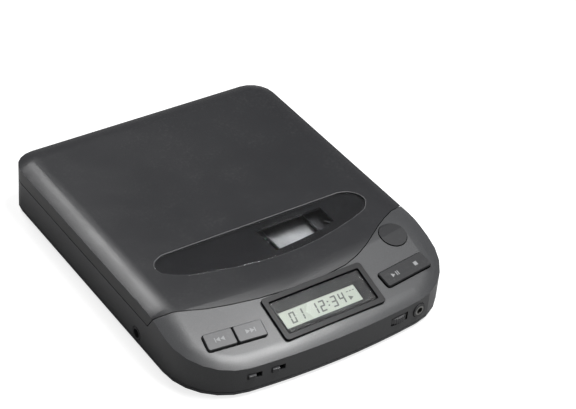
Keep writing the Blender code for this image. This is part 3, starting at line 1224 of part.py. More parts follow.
def build_display():
    frame = deck_frame(LCD_X, LCD_Y)
    bezel = placed(plate("lcd_bezel", bezel_rectangle(0), BEZEL_LIFT - BEZEL_FLANGE, BEZEL_LIFT), frame)
    soften(bezel, KEY_EDGE / 2)
    skirt = placed(plate("bezel_skirt", bezel_rectangle(BEZEL_LIP), KEY_BOARD_TOP + SEAT_GAP,
                         BEZEL_LIFT - BEZEL_FLANGE / 2), frame)
    join(bezel, skirt)
    cut(bezel, placed(plate("bezel_opening", bezel_rectangle(BEZEL_LIP + BEZEL_FRAME),
                             KEY_BOARD_BOTTOM, BEZEL_LIFT + OVERRUN), frame))
    as_part(bezel, (0.012, 0.012, 0.013), 0.35)
    lens_top = BEZEL_LIFT - LENS_SINK
    lens = placed(plate("lcd_lens", bezel_rectangle(BEZEL_LIP + BEZEL_FRAME + RUNNING_GAP),
                         lens_top - LENS_THICKNESS, lens_top), frame)
    as_part(lens, (0.02, 0.02, 0.02), 0.05, alpha=0.5)
    top = lens_top - LENS_THICKNESS - RUNNING_GAP
    panel = box("lcd_panel", (-DISPLAY_WIDTH / 2 + DISPLAY_SHIFT, -DISPLAY_DEPTH / 2 + DISPLAY_SHIFT,
                              KEY_BOARD_TOP + SEAT_GAP),
                (DISPLAY_WIDTH / 2 + DISPLAY_SHIFT, DISPLAY_DEPTH / 2 + DISPLAY_SHIFT, top))
    as_part(placed(panel, frame), (0.58, 0.61, 0.52), 0.3)


def build_key_board():
    """Flat board under the keys, with a rubber mat under each group of keys."""
    frame = deck_frame(LCD_X, LCD_Y)
    board = box("key_board", (-KEY_BOARD_HALF_WIDTH, -KEY_BOARD_HALF_DEPTH, KEY_BOARD_BOTTOM),
                (KEY_BOARD_HALF_WIDTH, KEY_BOARD_HALF_DEPTH, KEY_BOARD_TOP))
    as_part(placed(board, frame), (0.05, 0.18, 0.08), 0.5)
    low = KEY_BOARD_TOP + SEAT_GAP
    for name, x, width in (("left_key_mat", LEFT_KEYS_X, LEFT_KEYS_WIDTH),
                           ("right_key_mat", RIGHT_KEY_X, RIGHT_KEY_WIDTH)):
        middle = x - LCD_X
        half = min(width / 2, KEY_BOARD_HALF_WIDTH - abs(middle))
        mat = box(name, (middle - half, -KEY_DEPTH / 2, low),
                  (middle + half, KEY_DEPTH / 2, low + MAT_THICKNESS))
        placed(mat, frame)
        for side in (-1, 1):
            dome = cylinder(name + "_dome", DOME_RADIUS, low + MAT_THICKNESS / 2,
                            low + MAT_THICKNESS + DOME_HEIGHT, (middle + side * width / 4, 0),
                            SMALL_SIDES, top_radius=DOME_RADIUS / 2)
            join(mat, placed(dome, frame))
        as_part(mat, (0.3, 0.3, 0.3), 0.7)


# Main board and what stands on it
BOARD_STANDOFF = 1.1 * MM
BOARD_BOTTOM = FLOOR_TOP + BOARD_STANDOFF
BOARD_SIDE_INSET = 15 * MM
BOARD_REAR_GAP = 2 * MM
BOARD_FRONT_INSET = 6.5 * MM
BOARD_HALF_WIDTH = HALF_WIDTH - BOARD_SIDE_INSET
BOARD_REAR = BAY_FRONT - BAY_WALL - BOARD_REAR_GAP
BOARD_FRONT = FRONT_Y + BOARD_FRONT_INSET
BOARD_CORNER = 12 * MM
BOARD_CLEARANCE = 1 * MM
BOARD_TOP = BOARD_BOTTOM + BOARD_THICKNESS
PART_SEAT = BOARD_TOP + SEAT_GAP
SERVO_CHIP = (12 * MM, 12 * MM, 2 * MM)
CHIP_INSET = 10 * MM
SERVO_CHIP_SPOT = (-BOARD_HALF_WIDTH + CHIP_INSET, 10 * MM)
SIGNAL_CHIP = (10 * MM, 20 * MM, 2.4 * MM)
SIGNAL_CHIP_SPOT = (-BOARD_HALF_WIDTH + CHIP_INSET, -16 * MM)
STANDOFF_RADIUS = 2 * MM
STANDOFF_SIDE_INSET = 4 * MM
STANDOFF_FRONT_INSET = 18.5 * MM
STANDOFF_REAR_INSET = 6 * MM
STANDOFF_MIDDLE = 2 * MM
STANDOFF_X = BOARD_HALF_WIDTH - STANDOFF_SIDE_INSET
STANDOFF_YS = (BOARD_FRONT + STANDOFF_FRONT_INSET, STANDOFF_MIDDLE, BOARD_REAR - STANDOFF_REAR_INSET)


def standoff_spots():
    return [(side * STANDOFF_X, y) for side in (-1, 1) for y in STANDOFF_YS]


def build_board():
    outline = [(BOARD_HALF_WIDTH, BOARD_REAR), (-BOARD_HALF_WIDTH, BOARD_REAR),
               (-BOARD_HALF_WIDTH, BOARD_FRONT + BOARD_CORNER),
               (-BOARD_HALF_WIDTH + BOARD_CORNER, BOARD_FRONT),
               (BOARD_HALF_WIDTH - BOARD_CORNER, BOARD_FRONT),
               (BOARD_HALF_WIDTH, BOARD_FRONT + BOARD_CORNER)]
    board = plate("main_board", outline, BOARD_BOTTOM, BOARD_TOP)
    low, high = BOARD_BOTTOM - OVERRUN, BOARD_TOP + OVERRUN
    for name, spot in damper_spots():
        cut(board, cylinder("board_post_hole", DAMPER_POST_RADIUS + BOARD_CLEARANCE, low, high, spot,
                            SMALL_SIDES))
    as_part(board, (0.05, 0.2, 0.09), 0.5)
    for name, size, spot in (("servo_chip", SERVO_CHIP, SERVO_CHIP_SPOT),
                             ("signal_chip", SIGNAL_CHIP, SIGNAL_CHIP_SPOT)):
        chip = box(name, (spot[0] - size[0] / 2, spot[1] - size[1] / 2, PART_SEAT),
                   (spot[0] + size[0] / 2, spot[1] + size[1] / 2, PART_SEAT + size[2]))
        soften(chip, RUNNING_GAP)
        as_part(chip, (0.02, 0.02, 0.02), 0.4)


# Controls and sockets in the front and side walls
WHEEL_INSET = 35 * MM
WHEEL_X = HALF_WIDTH - WHEEL_INSET
WHEEL_OUTER_RADIUS = 7 * MM
WHEEL_PROUD = 0.8 * MM
WHEEL_WIDTH = 3 * MM
WHEEL_Z = 9.3 * MM
WHEEL_RIBS = 24
RIB_SHARE = 0.25
RIB_DEPTH = 0.35 * MM
WHEEL_RANGE_ROOM = 0.6 * MM
WHEEL_BORE = 1.6 * MM
POT_RADIUS = 4.2 * MM
JACK_INSET = 23.6 * MM
JACK_X = HALF_WIDTH - JACK_INSET
JACK_Z = 8.9 * MM
JACK_RING_RADIUS = 3.1 * MM
JACK_BORE_RADIUS = 1.8 * MM
JACK_PROUD = 0.4 * MM
JACK_BODY = (6 * MM, 9 * MM, 6.4 * MM)
SWITCH_INSETS = (25.6 * MM, 36 * MM)
SWITCH_XS = tuple(inset - HALF_WIDTH for inset in SWITCH_INSETS)
SWITCH_Z = 9.6 * MM
KNOB_WIDTH = 3.2 * MM
KNOB_HEIGHT = 2 * MM
KNOB_PROUD = 0.8 * MM
KNOB_TRAVEL = 2.6 * MM
KNOB_FLANGE_THICKNESS = 0.6 * MM
SLIDE_BODY_DEPTH = 3.4 * MM
DC_Y = -30 * MM
DC_Z = 6.4 * MM
DC_RING_RADIUS = 2.8 * MM
DC_BORE_RADIUS = 2.1 * MM
DC_PIN_RADIUS = 0.65 * MM
DC_LENGTH = 9 * MM
DC_BODY_SIZE = 6.2 * MM
WHEEL_Y = wall_frame(WHEEL_X, WHEEL_Z).translation.y + WHEEL_OUTER_RADIUS - WHEEL_PROUD


def build_volume():
    points = []
    for i in range(2 * WHEEL_RIBS):
        radius = WHEEL_OUTER_RADIUS - (RIB_DEPTH if i % 2 else 0)
        for side in (-RIB_SHARE, RIB_SHARE):
            angle = math.pi * (i + side) / WHEEL_RIBS
            points.append((radius * math.cos(angle), radius * math.sin(angle)))
    spot = (WHEEL_X, WHEEL_Y)
    low, high = WHEEL_Z - WHEEL_WIDTH / 2, WHEEL_Z + WHEEL_WIDTH / 2
    wheel = plate("volume_wheel", moved(points, spot), low, high)
    cut(wheel, cylinder("wheel_bore", WHEEL_BORE + ROD_PLAY, low - OVERRUN, high + OVERRUN, spot,
                        SMALL_SIDES))
    hang_on(wheel, (*spot, WHEEL_Z))
    as_part(wheel, (0.04, 0.04, 0.042), 0.6)
    pot_top = low - RUNNING_GAP
    profile = ((0, high), (WHEEL_BORE, high), (WHEEL_BORE, pot_top), (POT_RADIUS, pot_top),
               (POT_RADIUS, PART_SEAT), (0, PART_SEAT))
    as_part(turned("volume_pot", profile, spot), (0.3, 0.28, 0.22), 0.5)


def build_jacks():
    frame = wall_frame(JACK_X, JACK_Z)
    width, depth, height = JACK_BODY
    inner = WALL + 2 * RUNNING_GAP
    jack = placed(box("headphone_jack", (-width / 2, inner, PART_SEAT - JACK_Z),
                       (width / 2, inner + depth, PART_SEAT - JACK_Z + height)), frame)
    join(jack, placed(cylinder("jack_ring", JACK_RING_RADIUS, -JACK_PROUD, inner + WALL, (0, 0),
                                ROUND_SIDES, "Y"), frame))
    cut(jack, placed(cylinder("jack_bore", JACK_BORE_RADIUS, -JACK_PROUD - OVERRUN, inner + depth - WALL,
                               (0, 0), SMALL_SIDES, "Y"), frame))
    as_part(jack, (0.02, 0.02, 0.02), 0.4)

    inner_x = -HALF_WIDTH + WALL + RUNNING_GAP
    half = DC_BODY_SIZE / 2
    socket = box("dc_jack", (inner_x, DC_Y - half, DC_Z - half),
                 (inner_x + DC_LENGTH, DC_Y + half, DC_Z + half))
    join(socket, cylinder("dc_ring", DC_RING_RADIUS, -HALF_WIDTH, inner_x + WALL, (DC_Y, DC_Z),
                          ROUND_SIDES, "X"))
    cut(socket, cylinder("dc_bore", DC_BORE_RADIUS, -HALF_WIDTH - OVERRUN, inner_x + DC_LENGTH - WALL,
                         (DC_Y, DC_Z), SMALL_SIDES, "X"))
    join(socket, cylinder("dc_pin", DC_PIN_RADIUS, -HALF_WIDTH + WALL, inner_x + DC_LENGTH - WALL / 2,
                          (DC_Y, DC_Z), SMALL_SIDES, "X"))
    as_part(socket, (0.02, 0.02, 0.02), 0.4)


def knob_holes(x):
    frame = wall_frame(x, SWITCH_Z)
    half = (KNOB_WIDTH + KNOB_TRAVEL) / 2 + RUNNING_GAP
    tall = KNOB_HEIGHT / 2 + RUNNING_GAP
    return placed(box("knob_slot", (-half, -OVERRUN, -tall), (half, WALL + OVERRUN, tall)), frame)


def build_slide_switches():
    for name, x in zip(("hold", "bass"), SWITCH_XS):
        frame = wall_frame(x, SWITCH_Z)
        start = -KNOB_TRAVEL / 2
        half = KNOB_WIDTH / 2
        tall = KNOB_HEIGHT / 2
        flange = WALL + RUNNING_GAP
        knob = placed(box(name + "_knob", (start - half, -KNOB_PROUD, -tall),
                          (start + half, flange + RUNNING_GAP, tall)), frame)
        soften(knob, RUNNING_GAP / 2)
        join(knob, placed(box(name + "_flange", (start - half - KEY_FLANGE, flange, -tall - KEY_FLANGE),
                               (start + half + KEY_FLANGE, flange + KNOB_FLANGE_THICKNESS,
                                tall + KEY_FLANGE)), frame))
        as_part(knob, (0.05, 0.05, 0.055), 0.5)
        inner = flange + KNOB_FLANGE_THICKNESS + RUNNING_GAP
        wide = half + KNOB_TRAVEL / 2 + KEY_FLANGE
        body = placed(box(name + "_switch", (-wide, inner, PART_SEAT - SWITCH_Z),
                          (wide, inner + SLIDE_BODY_DEPTH, tall + KEY_FLANGE)), frame)
        as_part(body, (0.5, 0.5, 0.5), 0.4, 1)


# Lid switch at the front left of the well
LID_SWITCH_X = -43 * MM
LID_SWITCH_Y = -37.4 * MM
LID_SWITCH_SIZE = 5 * MM
LID_PLUNGER_RADIUS = 1 * MM
LID_PLUNGER_LIFT = 0.8 * MM


def build_lid_switch():
    half = LID_SWITCH_SIZE / 2
    top = WELL_UNDERSIDE - SEAT_GAP
    switch = box("lid_switch", (LID_SWITCH_X - half, LID_SWITCH_Y - half, top - LID_SWITCH_SIZE),
                 (LID_SWITCH_X + half, LID_SWITCH_Y + half, top))
    join(switch, cylinder("lid_switch_plunger", LID_PLUNGER_RADIUS, top - RUNNING_GAP,
                          RIM_TOP + LID_PLUNGER_LIFT, (LID_SWITCH_X, LID_SWITCH_Y), SMALL_SIDES))
    as_part(switch, (0.6, 0.6, 0.58), 0.5)


def build_cabinet():
    """Upper case: side walls, deck and the disc well in one moulding."""
    case = envelope("top_case", low=PAN_TOP + SEAM_GAP)
    rim = envelope("rim_block", inset=RIM_INSET, low=SLOT_FLOOR - OVERRUN, roof=RIM_TOP)
    clip(rim, parting_prism("rim_zone", -RIM_INSET))
    space = box("lid_space", (-HALF_WIDTH - OVERRUN, FRONT_Y, SLOT_FLOOR),
                (HALF_WIDTH + OVERRUN, REAR_Y + OVERRUN, CASE_HEIGHT + OVERRUN / 2))
    clip(space, parting_prism("lid_space_zone", LID_GAP))
    cut(space, rim)
    cut(case, space)
    cut(case, cylinder("disc_well", WELL_RADIUS, WELL_FLOOR, CASE_HEIGHT, (0, SPINDLE_Y), WELL_SIDES))
    low = PAN_TOP - OVERRUN
    behind_deck = LID_GAP + WALL + OVERRUN / 4
    for name, inset, roof, forward in (
            ("low_hollow", WALL, LEDGE_BOTTOM, behind_deck),
            ("middle_hollow", WALL + LEDGE_DEPTH, BAND_BOTTOM, behind_deck + OVERRUN / 4),
            ("high_hollow", WALL + LEDGE_DEPTH, WELL_UNDERSIDE, -RIM_INSET - LEDGE_DEPTH)):
        hollow = envelope(name, inset=inset, roof_drop=WALL, low=low, roof=roof)
        clip(hollow, parting_prism(name + "_zone", forward))
        cut(case, hollow)
        low += OVERRUN / 4
    deck_hollow = envelope("deck_hollow", inset=WALL, roof_drop=WALL, low=low)
    clip(deck_hollow, parting_prism("deck_zone", LID_GAP + WALL, behind=False))
    cut(case, deck_hollow)

    cut(case, plate("mechanism_opening", centred_rectangle(OPENING_LEFT, OPENING_RIGHT, OPENING_FRONT,
                                                           OPENING_REAR, OPENING_RADIUS),
                    WELL_UNDERSIDE - OVERRUN, WELL_FLOOR + OVERRUN))
    lens_end = SPINDLE_Y - WELL_RADIUS + WALL / 2
    cut(case, plate("lens_slot", centred_rectangle(-SLOT_HALF_WIDTH, SLOT_HALF_WIDTH, lens_end,
                                                   OPENING_FRONT + OPENING_RADIUS, OPENING_RADIUS / 2),
                    WELL_UNDERSIDE - OVERRUN, WELL_FLOOR + OVERRUN))
    groove = cylinder("hinge_groove", GROOVE_RADIUS, -HALF_WIDTH - OVERRUN, HALF_WIDTH + OVERRUN,
                      (HINGE_Y, HINGE_Z), GROOVE_SIDES, "X")
    for side in (-1, 1):
        inner, lug, outer = hinge_spans(side)
        join(groove, box("lug_room", (lug[0] - LUG_ROOM, HINGE_Y - KNUCKLE_RADIUS - RUNNING_GAP,
                                      HINGE_Z - RUNNING_GAP),
                         (lug[1] + LUG_ROOM, REAR_Y + OVERRUN, CASE_HEIGHT)))
    cut(case, groove)
    half_web = KNUCKLE_RADIUS - RUNNING_GAP / 2
    for side in (-1, 1):
        inner, lug, outer = hinge_spans(side)
        for span in (inner, outer):
            join(case, eye("knuckle", span, (HINGE_Y - WEB_DEPTH, HINGE_Z - half_web),
                           (HINGE_Y, HINGE_Z + half_web)))
    for spot in screw_spots():
        ceiling = WELL_UNDERSIDE
        if spot[1] < 0:
            ceiling = CASE_HEIGHT - deck_fall(*spot) - WALL - FRONT_SHOULDER_DROP / 2
        join(case, cylinder("screw_post", POST_RADIUS, BOSS_TOP + RUNNING_GAP, ceiling + WELL_PLATE / 2,
                            spot, SMALL_SIDES))
        cut(case, cylinder("post_bore", SCREW_RADIUS + RUNNING_GAP, BOSS_TOP - OVERRUN,
                           FOOT_HEIGHT + SCREW_SINK + SCREW_LENGTH + OVERRUN, spot, SMALL_SIDES))
    half = (CATCH_WIDTH + CATCH_ROOM) / 2
    cut(case, box("catch_slot", (CATCH_X - half, CATCH_Y - CATCH_STEM / 2 - CATCH_ROOM,
                                 WELL_UNDERSIDE - OVERRUN),
                  (CATCH_X + half, CATCH_Y + CATCH_STEM / 2 + BARB_DEPTH + CATCH_ROOM / 2, CASE_HEIGHT)))
    cut(case, cylinder("plunger_hole", LID_PLUNGER_RADIUS + RUNNING_GAP, WELL_UNDERSIDE - OVERRUN,
                       CASE_HEIGHT, (LID_SWITCH_X, LID_SWITCH_Y), SMALL_SIDES))
    cut(case, key_hole("left_key_hole", LEFT_KEYS_WIDTH, deck_frame(LEFT_KEYS_X, KEYS_Y)))
    cut(case, key_hole("right_key_hole", RIGHT_KEY_WIDTH, deck_frame(RIGHT_KEY_X, KEYS_Y)))
    cut(case, placed(plate("bezel_hole", bezel_rectangle(BEZEL_LIP - RUNNING_GAP), KEY_BOARD_BOTTOM,
                            BEZEL_LIFT + OVERRUN), deck_frame(LCD_X, LCD_Y)))
    cut(case, placed(cylinder("button_hole", BUTTON_RADIUS + RUNNING_GAP, KEY_BOARD_BOTTOM,
                               BUTTON_LIFT + OVERRUN), deck_frame(BUTTON_X, BUTTON_Y)))
    cut(case, placed(cylinder("flange_room", BUTTON_RADIUS + KEY_FLANGE + RUNNING_GAP, KEY_BOARD_BOTTOM,
                               KEY_UNDERSIDE + RUNNING_GAP), deck_frame(BUTTON_X, BUTTON_Y)))
    for x in SWITCH_XS:
        cut(case, knob_holes(x))
    reach = WHEEL_OUTER_RADIUS + WHEEL_RANGE_ROOM
    cut(case, cylinder("wheel_slot", reach, WHEEL_Z - WHEEL_WIDTH / 2 - WHEEL_RANGE_ROOM,
                       WHEEL_Z + WHEEL_WIDTH / 2 + WHEEL_RANGE_ROOM, (WHEEL_X, WHEEL_Y)))
    cut(case, placed(cylinder("jack_hole", JACK_RING_RADIUS + RUNNING_GAP, -OVERRUN, WALL + OVERRUN,
                               (0, 0), ROUND_SIDES, "Y"), wall_frame(JACK_X, JACK_Z)))
    cut(case, cylinder("dc_hole", DC_RING_RADIUS + RUNNING_GAP, -HALF_WIDTH - OVERRUN,
                       -HALF_WIDTH + WALL + OVERRUN, (DC_Y, DC_Z), ROUND_SIDES, "X"))
    as_part(case, (0.035, 0.036, 0.04), 0.5)


build_lid()
build_catch()
build_cabinet()
build_base()
build_battery_parts()
build_hinge_pins()
build_keys()
build_latch()
build_display()
build_key_board()
build_board()
build_volume()
build_jacks()
build_slide_switches()
build_lid_switch()
build_turntable()
build_spindle_motor()
build_chassis()
build_gears()
build_sled()
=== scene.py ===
"""Dresses a portable disc player in its visible finishes: shells, window, display, keys and drive."""
import json
import math

import bmesh
import bpy
from mathutils import Matrix, Vector


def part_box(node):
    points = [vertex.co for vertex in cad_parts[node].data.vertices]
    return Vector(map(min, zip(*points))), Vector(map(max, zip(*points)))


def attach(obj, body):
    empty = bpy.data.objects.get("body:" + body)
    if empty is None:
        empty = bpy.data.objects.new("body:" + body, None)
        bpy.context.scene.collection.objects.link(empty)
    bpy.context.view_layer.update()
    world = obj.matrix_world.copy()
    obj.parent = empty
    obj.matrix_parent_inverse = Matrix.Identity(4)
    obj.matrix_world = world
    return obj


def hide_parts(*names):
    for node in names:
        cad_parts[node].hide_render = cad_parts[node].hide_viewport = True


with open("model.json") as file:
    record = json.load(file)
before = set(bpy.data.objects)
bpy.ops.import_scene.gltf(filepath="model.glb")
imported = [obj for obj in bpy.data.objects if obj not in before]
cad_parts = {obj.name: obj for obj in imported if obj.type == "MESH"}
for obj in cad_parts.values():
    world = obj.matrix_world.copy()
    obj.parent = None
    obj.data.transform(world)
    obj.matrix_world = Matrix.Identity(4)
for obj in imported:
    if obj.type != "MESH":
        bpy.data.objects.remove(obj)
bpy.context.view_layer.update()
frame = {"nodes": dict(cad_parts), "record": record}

bl_info = {
    "name": "Portable Disc Player Dressing",
    "version": (1, 0, 0),
    "blender": (4, 5, 0),
    "location": "View3D > Sidebar > Disc Player",
    "description": "Builds the visible pieces and finishes of a portable disc player on its solid model",
    "category": "Object",
}

MM = 0.001
BODY_OF = {node: body for body, nodes in frame["record"]["behaviour"]["bodies"].items() for node in nodes}

# The deck and the walls, and the spots of what stands on them. The case's limits come from the solids. The
# bow and the fall of the deck have the same values as in the part's source.
CASE_LOW, CASE_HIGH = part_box("top_case")
HALF_WIDTH = CASE_HIGH.x
FRONT_Y = CASE_LOW.y
CASE_TOP = CASE_HIGH.z
BOW_RISE = 6 * MM
BOW_RADIUS = (HALF_WIDTH ** 2 + BOW_RISE ** 2) / (2 * BOW_RISE)
BOW_CENTRE_Y = FRONT_Y + BOW_RADIUS
DECK_RUN = 32 * MM
DECK_DROP = 9.8 * MM
DECK_SOFTNESS = 4 * MM
BREAK_RADIUS = BOW_RADIUS - DECK_RUN
DECK_SLOPE = DECK_DROP / DECK_RUN
KEYS_Y = -62.8 * MM
LEFT_KEYS_X = -40.5 * MM
RIGHT_KEY_X = 42.8 * MM
KEY_LIFT = 1.1 * MM
DISPLAY_SPOT = (1.5 * MM, -63.3 * MM)
SPINDLE = (0, 12.167 * MM)
HOLD_SPOT = (-39.4 * MM, 9.6 * MM)
BASS_SPOT = (-29 * MM, 9.6 * MM)
HEADPHONE_SPOT = (41.4 * MM, 8.9 * MM)
POWER_SPOT = (-HALF_WIDTH, -30 * MM, 6.4 * MM)
VENTS_SPOT = (0, -28 * MM, 1.12 * MM)
CORNERS = ("front_left", "front_right", "rear_left", "rear_right")

# Thickness of printed signs, and how seven-segment signs are set, as shares of their height
KEY_INK = 0.05 * MM
DISPLAY_INK = 0.04 * MM
DIGIT_SLANT = 0.12
DIGIT_PITCH = 0.74
NARROW_PITCH = {":": 0.36, " ": 0.55}

# Camera, lamps and floor: angles in degrees, lengths in metres, the sensor in millimetres, and strengths
# of which 1 is white
CAMERA_ANGLES = (-37.61, 37.2, 5.5)
CAMERA_DISTANCE = 0.766
CAMERA_SHIFT = (0.024, 0.01984)
CAMERA_AIM_HEIGHT = 1.9 * MM
SENSOR_WIDTH = 36
LAMP_AIM = Vector((0, -10 * MM, 15 * MM))
LAMP_DISTANCE = 0.8
FLOOR_HALF = 6
FLOOR_GLOW = 0.8
ROOM_LIGHT = 0.16

# How meshes are merged, smoothed and rounded, with angles in radians
MERGE_REACH = 0.002 * MM
FLAT_ANGLE = 0.02
SHARP_ANGLE = 0.6
EDGE_ANGLE = 0.9
LARGE_FACE_WEIGHT = 60

# Radii of rounded edges, from the display frame down to the teeth of a gear
FRAME_EDGE = 0.25 * MM
ROUND_EDGE = 0.2 * MM
SOFT_EDGE = 0.15 * MM
MOULDED_EDGE = 0.12 * MM
CRISP_EDGE = 0.1 * MM
FINE_EDGE = 0.08 * MM
THIN_EDGE = 0.05 * MM
TOOTH_EDGE = 0.04 * MM

HERE = Matrix.Identity(4)
COMPONENTS_PER_SQUARE_METRE = 200000
FINE_GRAIN = {"grain": 0.3 * MM, "depth": 0.012 * MM}


# Sizes and colours that a user would change


class CaseLook(bpy.types.PropertyGroup):
    """Finish of the shells."""
    lid_colour: bpy.props.FloatVectorProperty(
        name="Lid colour", description="Paint on the lid", subtype="COLOR", size=3,
        default=(0.015, 0.0153, 0.017), min=0, max=1)
    deck_colour: bpy.props.FloatVectorProperty(
        name="Deck colour", description="Paint on the deck and the walls", subtype="COLOR", size=3,
        default=(0.042, 0.043, 0.045), min=0, max=1)
    base_colour: bpy.props.FloatVectorProperty(
        name="Base colour", description="Moulded plastic of the bottom pan", subtype="COLOR", size=3,
        default=(0.06, 0.062, 0.066), min=0, max=1)
    grain_size: bpy.props.FloatProperty(
        name="Grain size", description="Width of one grain of the textured paint", subtype="DISTANCE",
        unit="LENGTH", default=0.35 * MM, min=0.05 * MM, max=2 * MM)
    grain_depth: bpy.props.FloatProperty(
        name="Grain depth", description="Depth of the textured paint", subtype="DISTANCE",
        unit="LENGTH", default=0.02 * MM, min=0, max=0.2 * MM)
    edge_round: bpy.props.FloatProperty(
        name="Edge round", description="Radius that breaks the sharp edges of the shells",
        subtype="DISTANCE", unit="LENGTH", default=0.22 * MM, min=0, max=1 * MM)


class DisplayLook(bpy.types.PropertyGroup):
    """Liquid crystal display."""
    glass_colour: bpy.props.FloatVectorProperty(
        name="Glass colour", description="Pale ground of the display", subtype="COLOR", size=3,
        default=(0.21, 0.232, 0.2), min=0, max=1)
    digit_colour: bpy.props.FloatVectorProperty(
        name="Digit colour", description="Dark segments of the display", subtype="COLOR", size=3,
        default=(0.02, 0.025, 0.02), min=0, max=1)
    digit_height: bpy.props.FloatProperty(
        name="Digit height", description="Height of the large digits", subtype="DISTANCE",
        unit="LENGTH", default=5.2 * MM, min=1 * MM, max=9 * MM)
    reading: bpy.props.StringProperty(
        name="Reading", description="Digits, spaces and colons that the display shows", default="01 12:34")


class ControlLook(bpy.types.PropertyGroup):
    """Keys, wheel and sockets."""
    key_colour: bpy.props.FloatVectorProperty(
        name="Skip key colour", description="Plastic of the two skip keys", subtype="COLOR", size=3,
        default=(0.06, 0.061, 0.064), min=0, max=1)
    bar_colour: bpy.props.FloatVectorProperty(
        name="Rocker colour", description="Plastic of the long rocker key", subtype="COLOR", size=3,
        default=(0.022, 0.0225, 0.024), min=0, max=1)
    print_colour: bpy.props.FloatVectorProperty(
        name="Symbol colour", description="Ink of the symbols on the keys", subtype="COLOR", size=3,
        default=(0.24, 0.245, 0.25), min=0, max=1)
    wheel_ribs: bpy.props.IntProperty(
        name="Wheel ribs", description="Ribs round the volume wheel", default=40, min=8, max=120)


class StageLook(bpy.types.PropertyGroup):
    """Floor, lamps and camera."""
    floor_colour: bpy.props.FloatVectorProperty(
        name="Floor colour", description="Pale floor under the player", subtype="COLOR", size=3,
        default=(0.35, 0.35, 0.35), min=0, max=1)
    key_power: bpy.props.FloatProperty(
        name="Key light", description="Power of the soft light over the right side", subtype="POWER",
        unit="POWER", default=8, min=0, max=200)
    fill_power: bpy.props.FloatProperty(
        name="Fill light", description="Power of the soft light over the left rear", subtype="POWER",
        unit="POWER", default=2.4, min=0, max=200)
    lens: bpy.props.FloatProperty(
        name="Focal length", description="Focal length of the camera in millimetres", unit="CAMERA",
        default=111.875, min=20, max=300)


# Places on the curved deck and wall


def deck_run(x, y):
    """How far a spot lies in front of the bow where the deck begins to fall."""
    return math.hypot(x, BOW_CENTRE_Y - y) - BREAK_RADIUS


def deck_fall(x, y):
    """How far the deck lies below the flat top."""
    run = deck_run(x, y)
    if run <= -DECK_SOFTNESS:
        return 0
    if run < DECK_SOFTNESS:
        return DECK_SLOPE * (run + DECK_SOFTNESS) ** 2 / (4 * DECK_SOFTNESS)
    return DECK_SLOPE * run


def deck_frame(x, y):
    """Frame of a spot on the deck, with Z along the deck's normal."""
    run = deck_run(x, y)
    share = min(1, max(0, (run + DECK_SOFTNESS) / (2 * DECK_SOFTNESS)))
    turn = Matrix.Rotation(math.atan2(x, BOW_CENTRE_Y - y), 4, "Z")
    tilt = Matrix.Rotation(math.atan(DECK_SLOPE * share), 4, "X")
    return Matrix.Translation((x, y, CASE_TOP - deck_fall(x, y))) @ turn @ tilt


def wall_frame(x, z):
    """Frame of a spot on the front wall, with Y pointing inwards."""
    angle = math.asin(x / BOW_RADIUS)
    place = Matrix.Translation((x, BOW_CENTRE_Y - BOW_RADIUS * math.cos(angle), z))
    return place @ Matrix.Rotation(angle, 4, "Z")


# Shader node groups that several finishes share


def new_group(name, inputs, outputs):
    """An empty shader group with named sockets."""
    group = bpy.data.node_groups.new(name, "ShaderNodeTree")
    for socket, kind, value in inputs:
        made = group.interface.new_socket(socket, in_out="INPUT", socket_type="NodeSocket" + kind)
        if value is not None:
            made.default_value = value
    for socket, kind in outputs:
        group.interface.new_socket(socket, in_out="OUTPUT", socket_type="NodeSocket" + kind)
    return group, group.nodes.new("NodeGroupInput"), group.nodes.new("NodeGroupOutput")


def feed(value, socket):
    """Gives a socket the value of another socket, a number or a colour."""
    if isinstance(value, bpy.types.NodeSocket):
        value.id_data.links.new(value, socket)
    elif isinstance(value, (int, float)):
        socket.default_value = value
    else:
        socket.default_value = (*value, 1)


def noise_node(tree, vector, scale, detail=2.0, roughness=0.5):
    """Soft random blotches, from 0 to 1."""
    node = tree.nodes.new("ShaderNodeTexNoise")
    for key, value in (("Vector", vector), ("Scale", scale), ("Detail", detail), ("Roughness", roughness)):
        feed(value, node.inputs[key])
    return node.outputs["Fac"]


def math_node(tree, operation, *values, clamp=False):
    """Reckons with up to three sockets or numbers."""
    node = tree.nodes.new("ShaderNodeMath")
    node.operation = operation
    node.use_clamp = clamp
    for value, socket in zip(values, node.inputs):
        feed(value, socket)
    return node.outputs[0]


def ramp_node(tree, value, low, high, to_low=0.0, to_high=1.0):
    """Maps value from low..high to to_low..to_high, held at the ends."""
    node = tree.nodes.new("ShaderNodeMapRange")
    for key, number in (("Value", value), ("From Min", low), ("From Max", high), ("To Min", to_low),
                        ("To Max", to_high)):
        feed(number, node.inputs[key])
    return node.outputs["Result"]


def mix_colour(tree, factor, first, second, blend="MIX"):
    """Mixes two colours."""
    node = tree.nodes.new("ShaderNodeMix")
    node.data_type = "RGBA"
    node.blend_type = blend
    sockets = {s.identifier: s for s in node.inputs}
    for key, value in (("Factor_Float", factor), ("A_Color", first), ("B_Color", second)):
        feed(value, sockets[key])
    return next(s for s in node.outputs if s.identifier == "Result_Color")


def group_node(tree, group, place, **values):
    """A shared group inside a finish."""
    node = tree.nodes.new("ShaderNodeGroup")
    node.node_tree = group
    feed(place, node.inputs["Vector"])
    for key, value in values.items():
        feed(value, node.inputs[key])
    return node


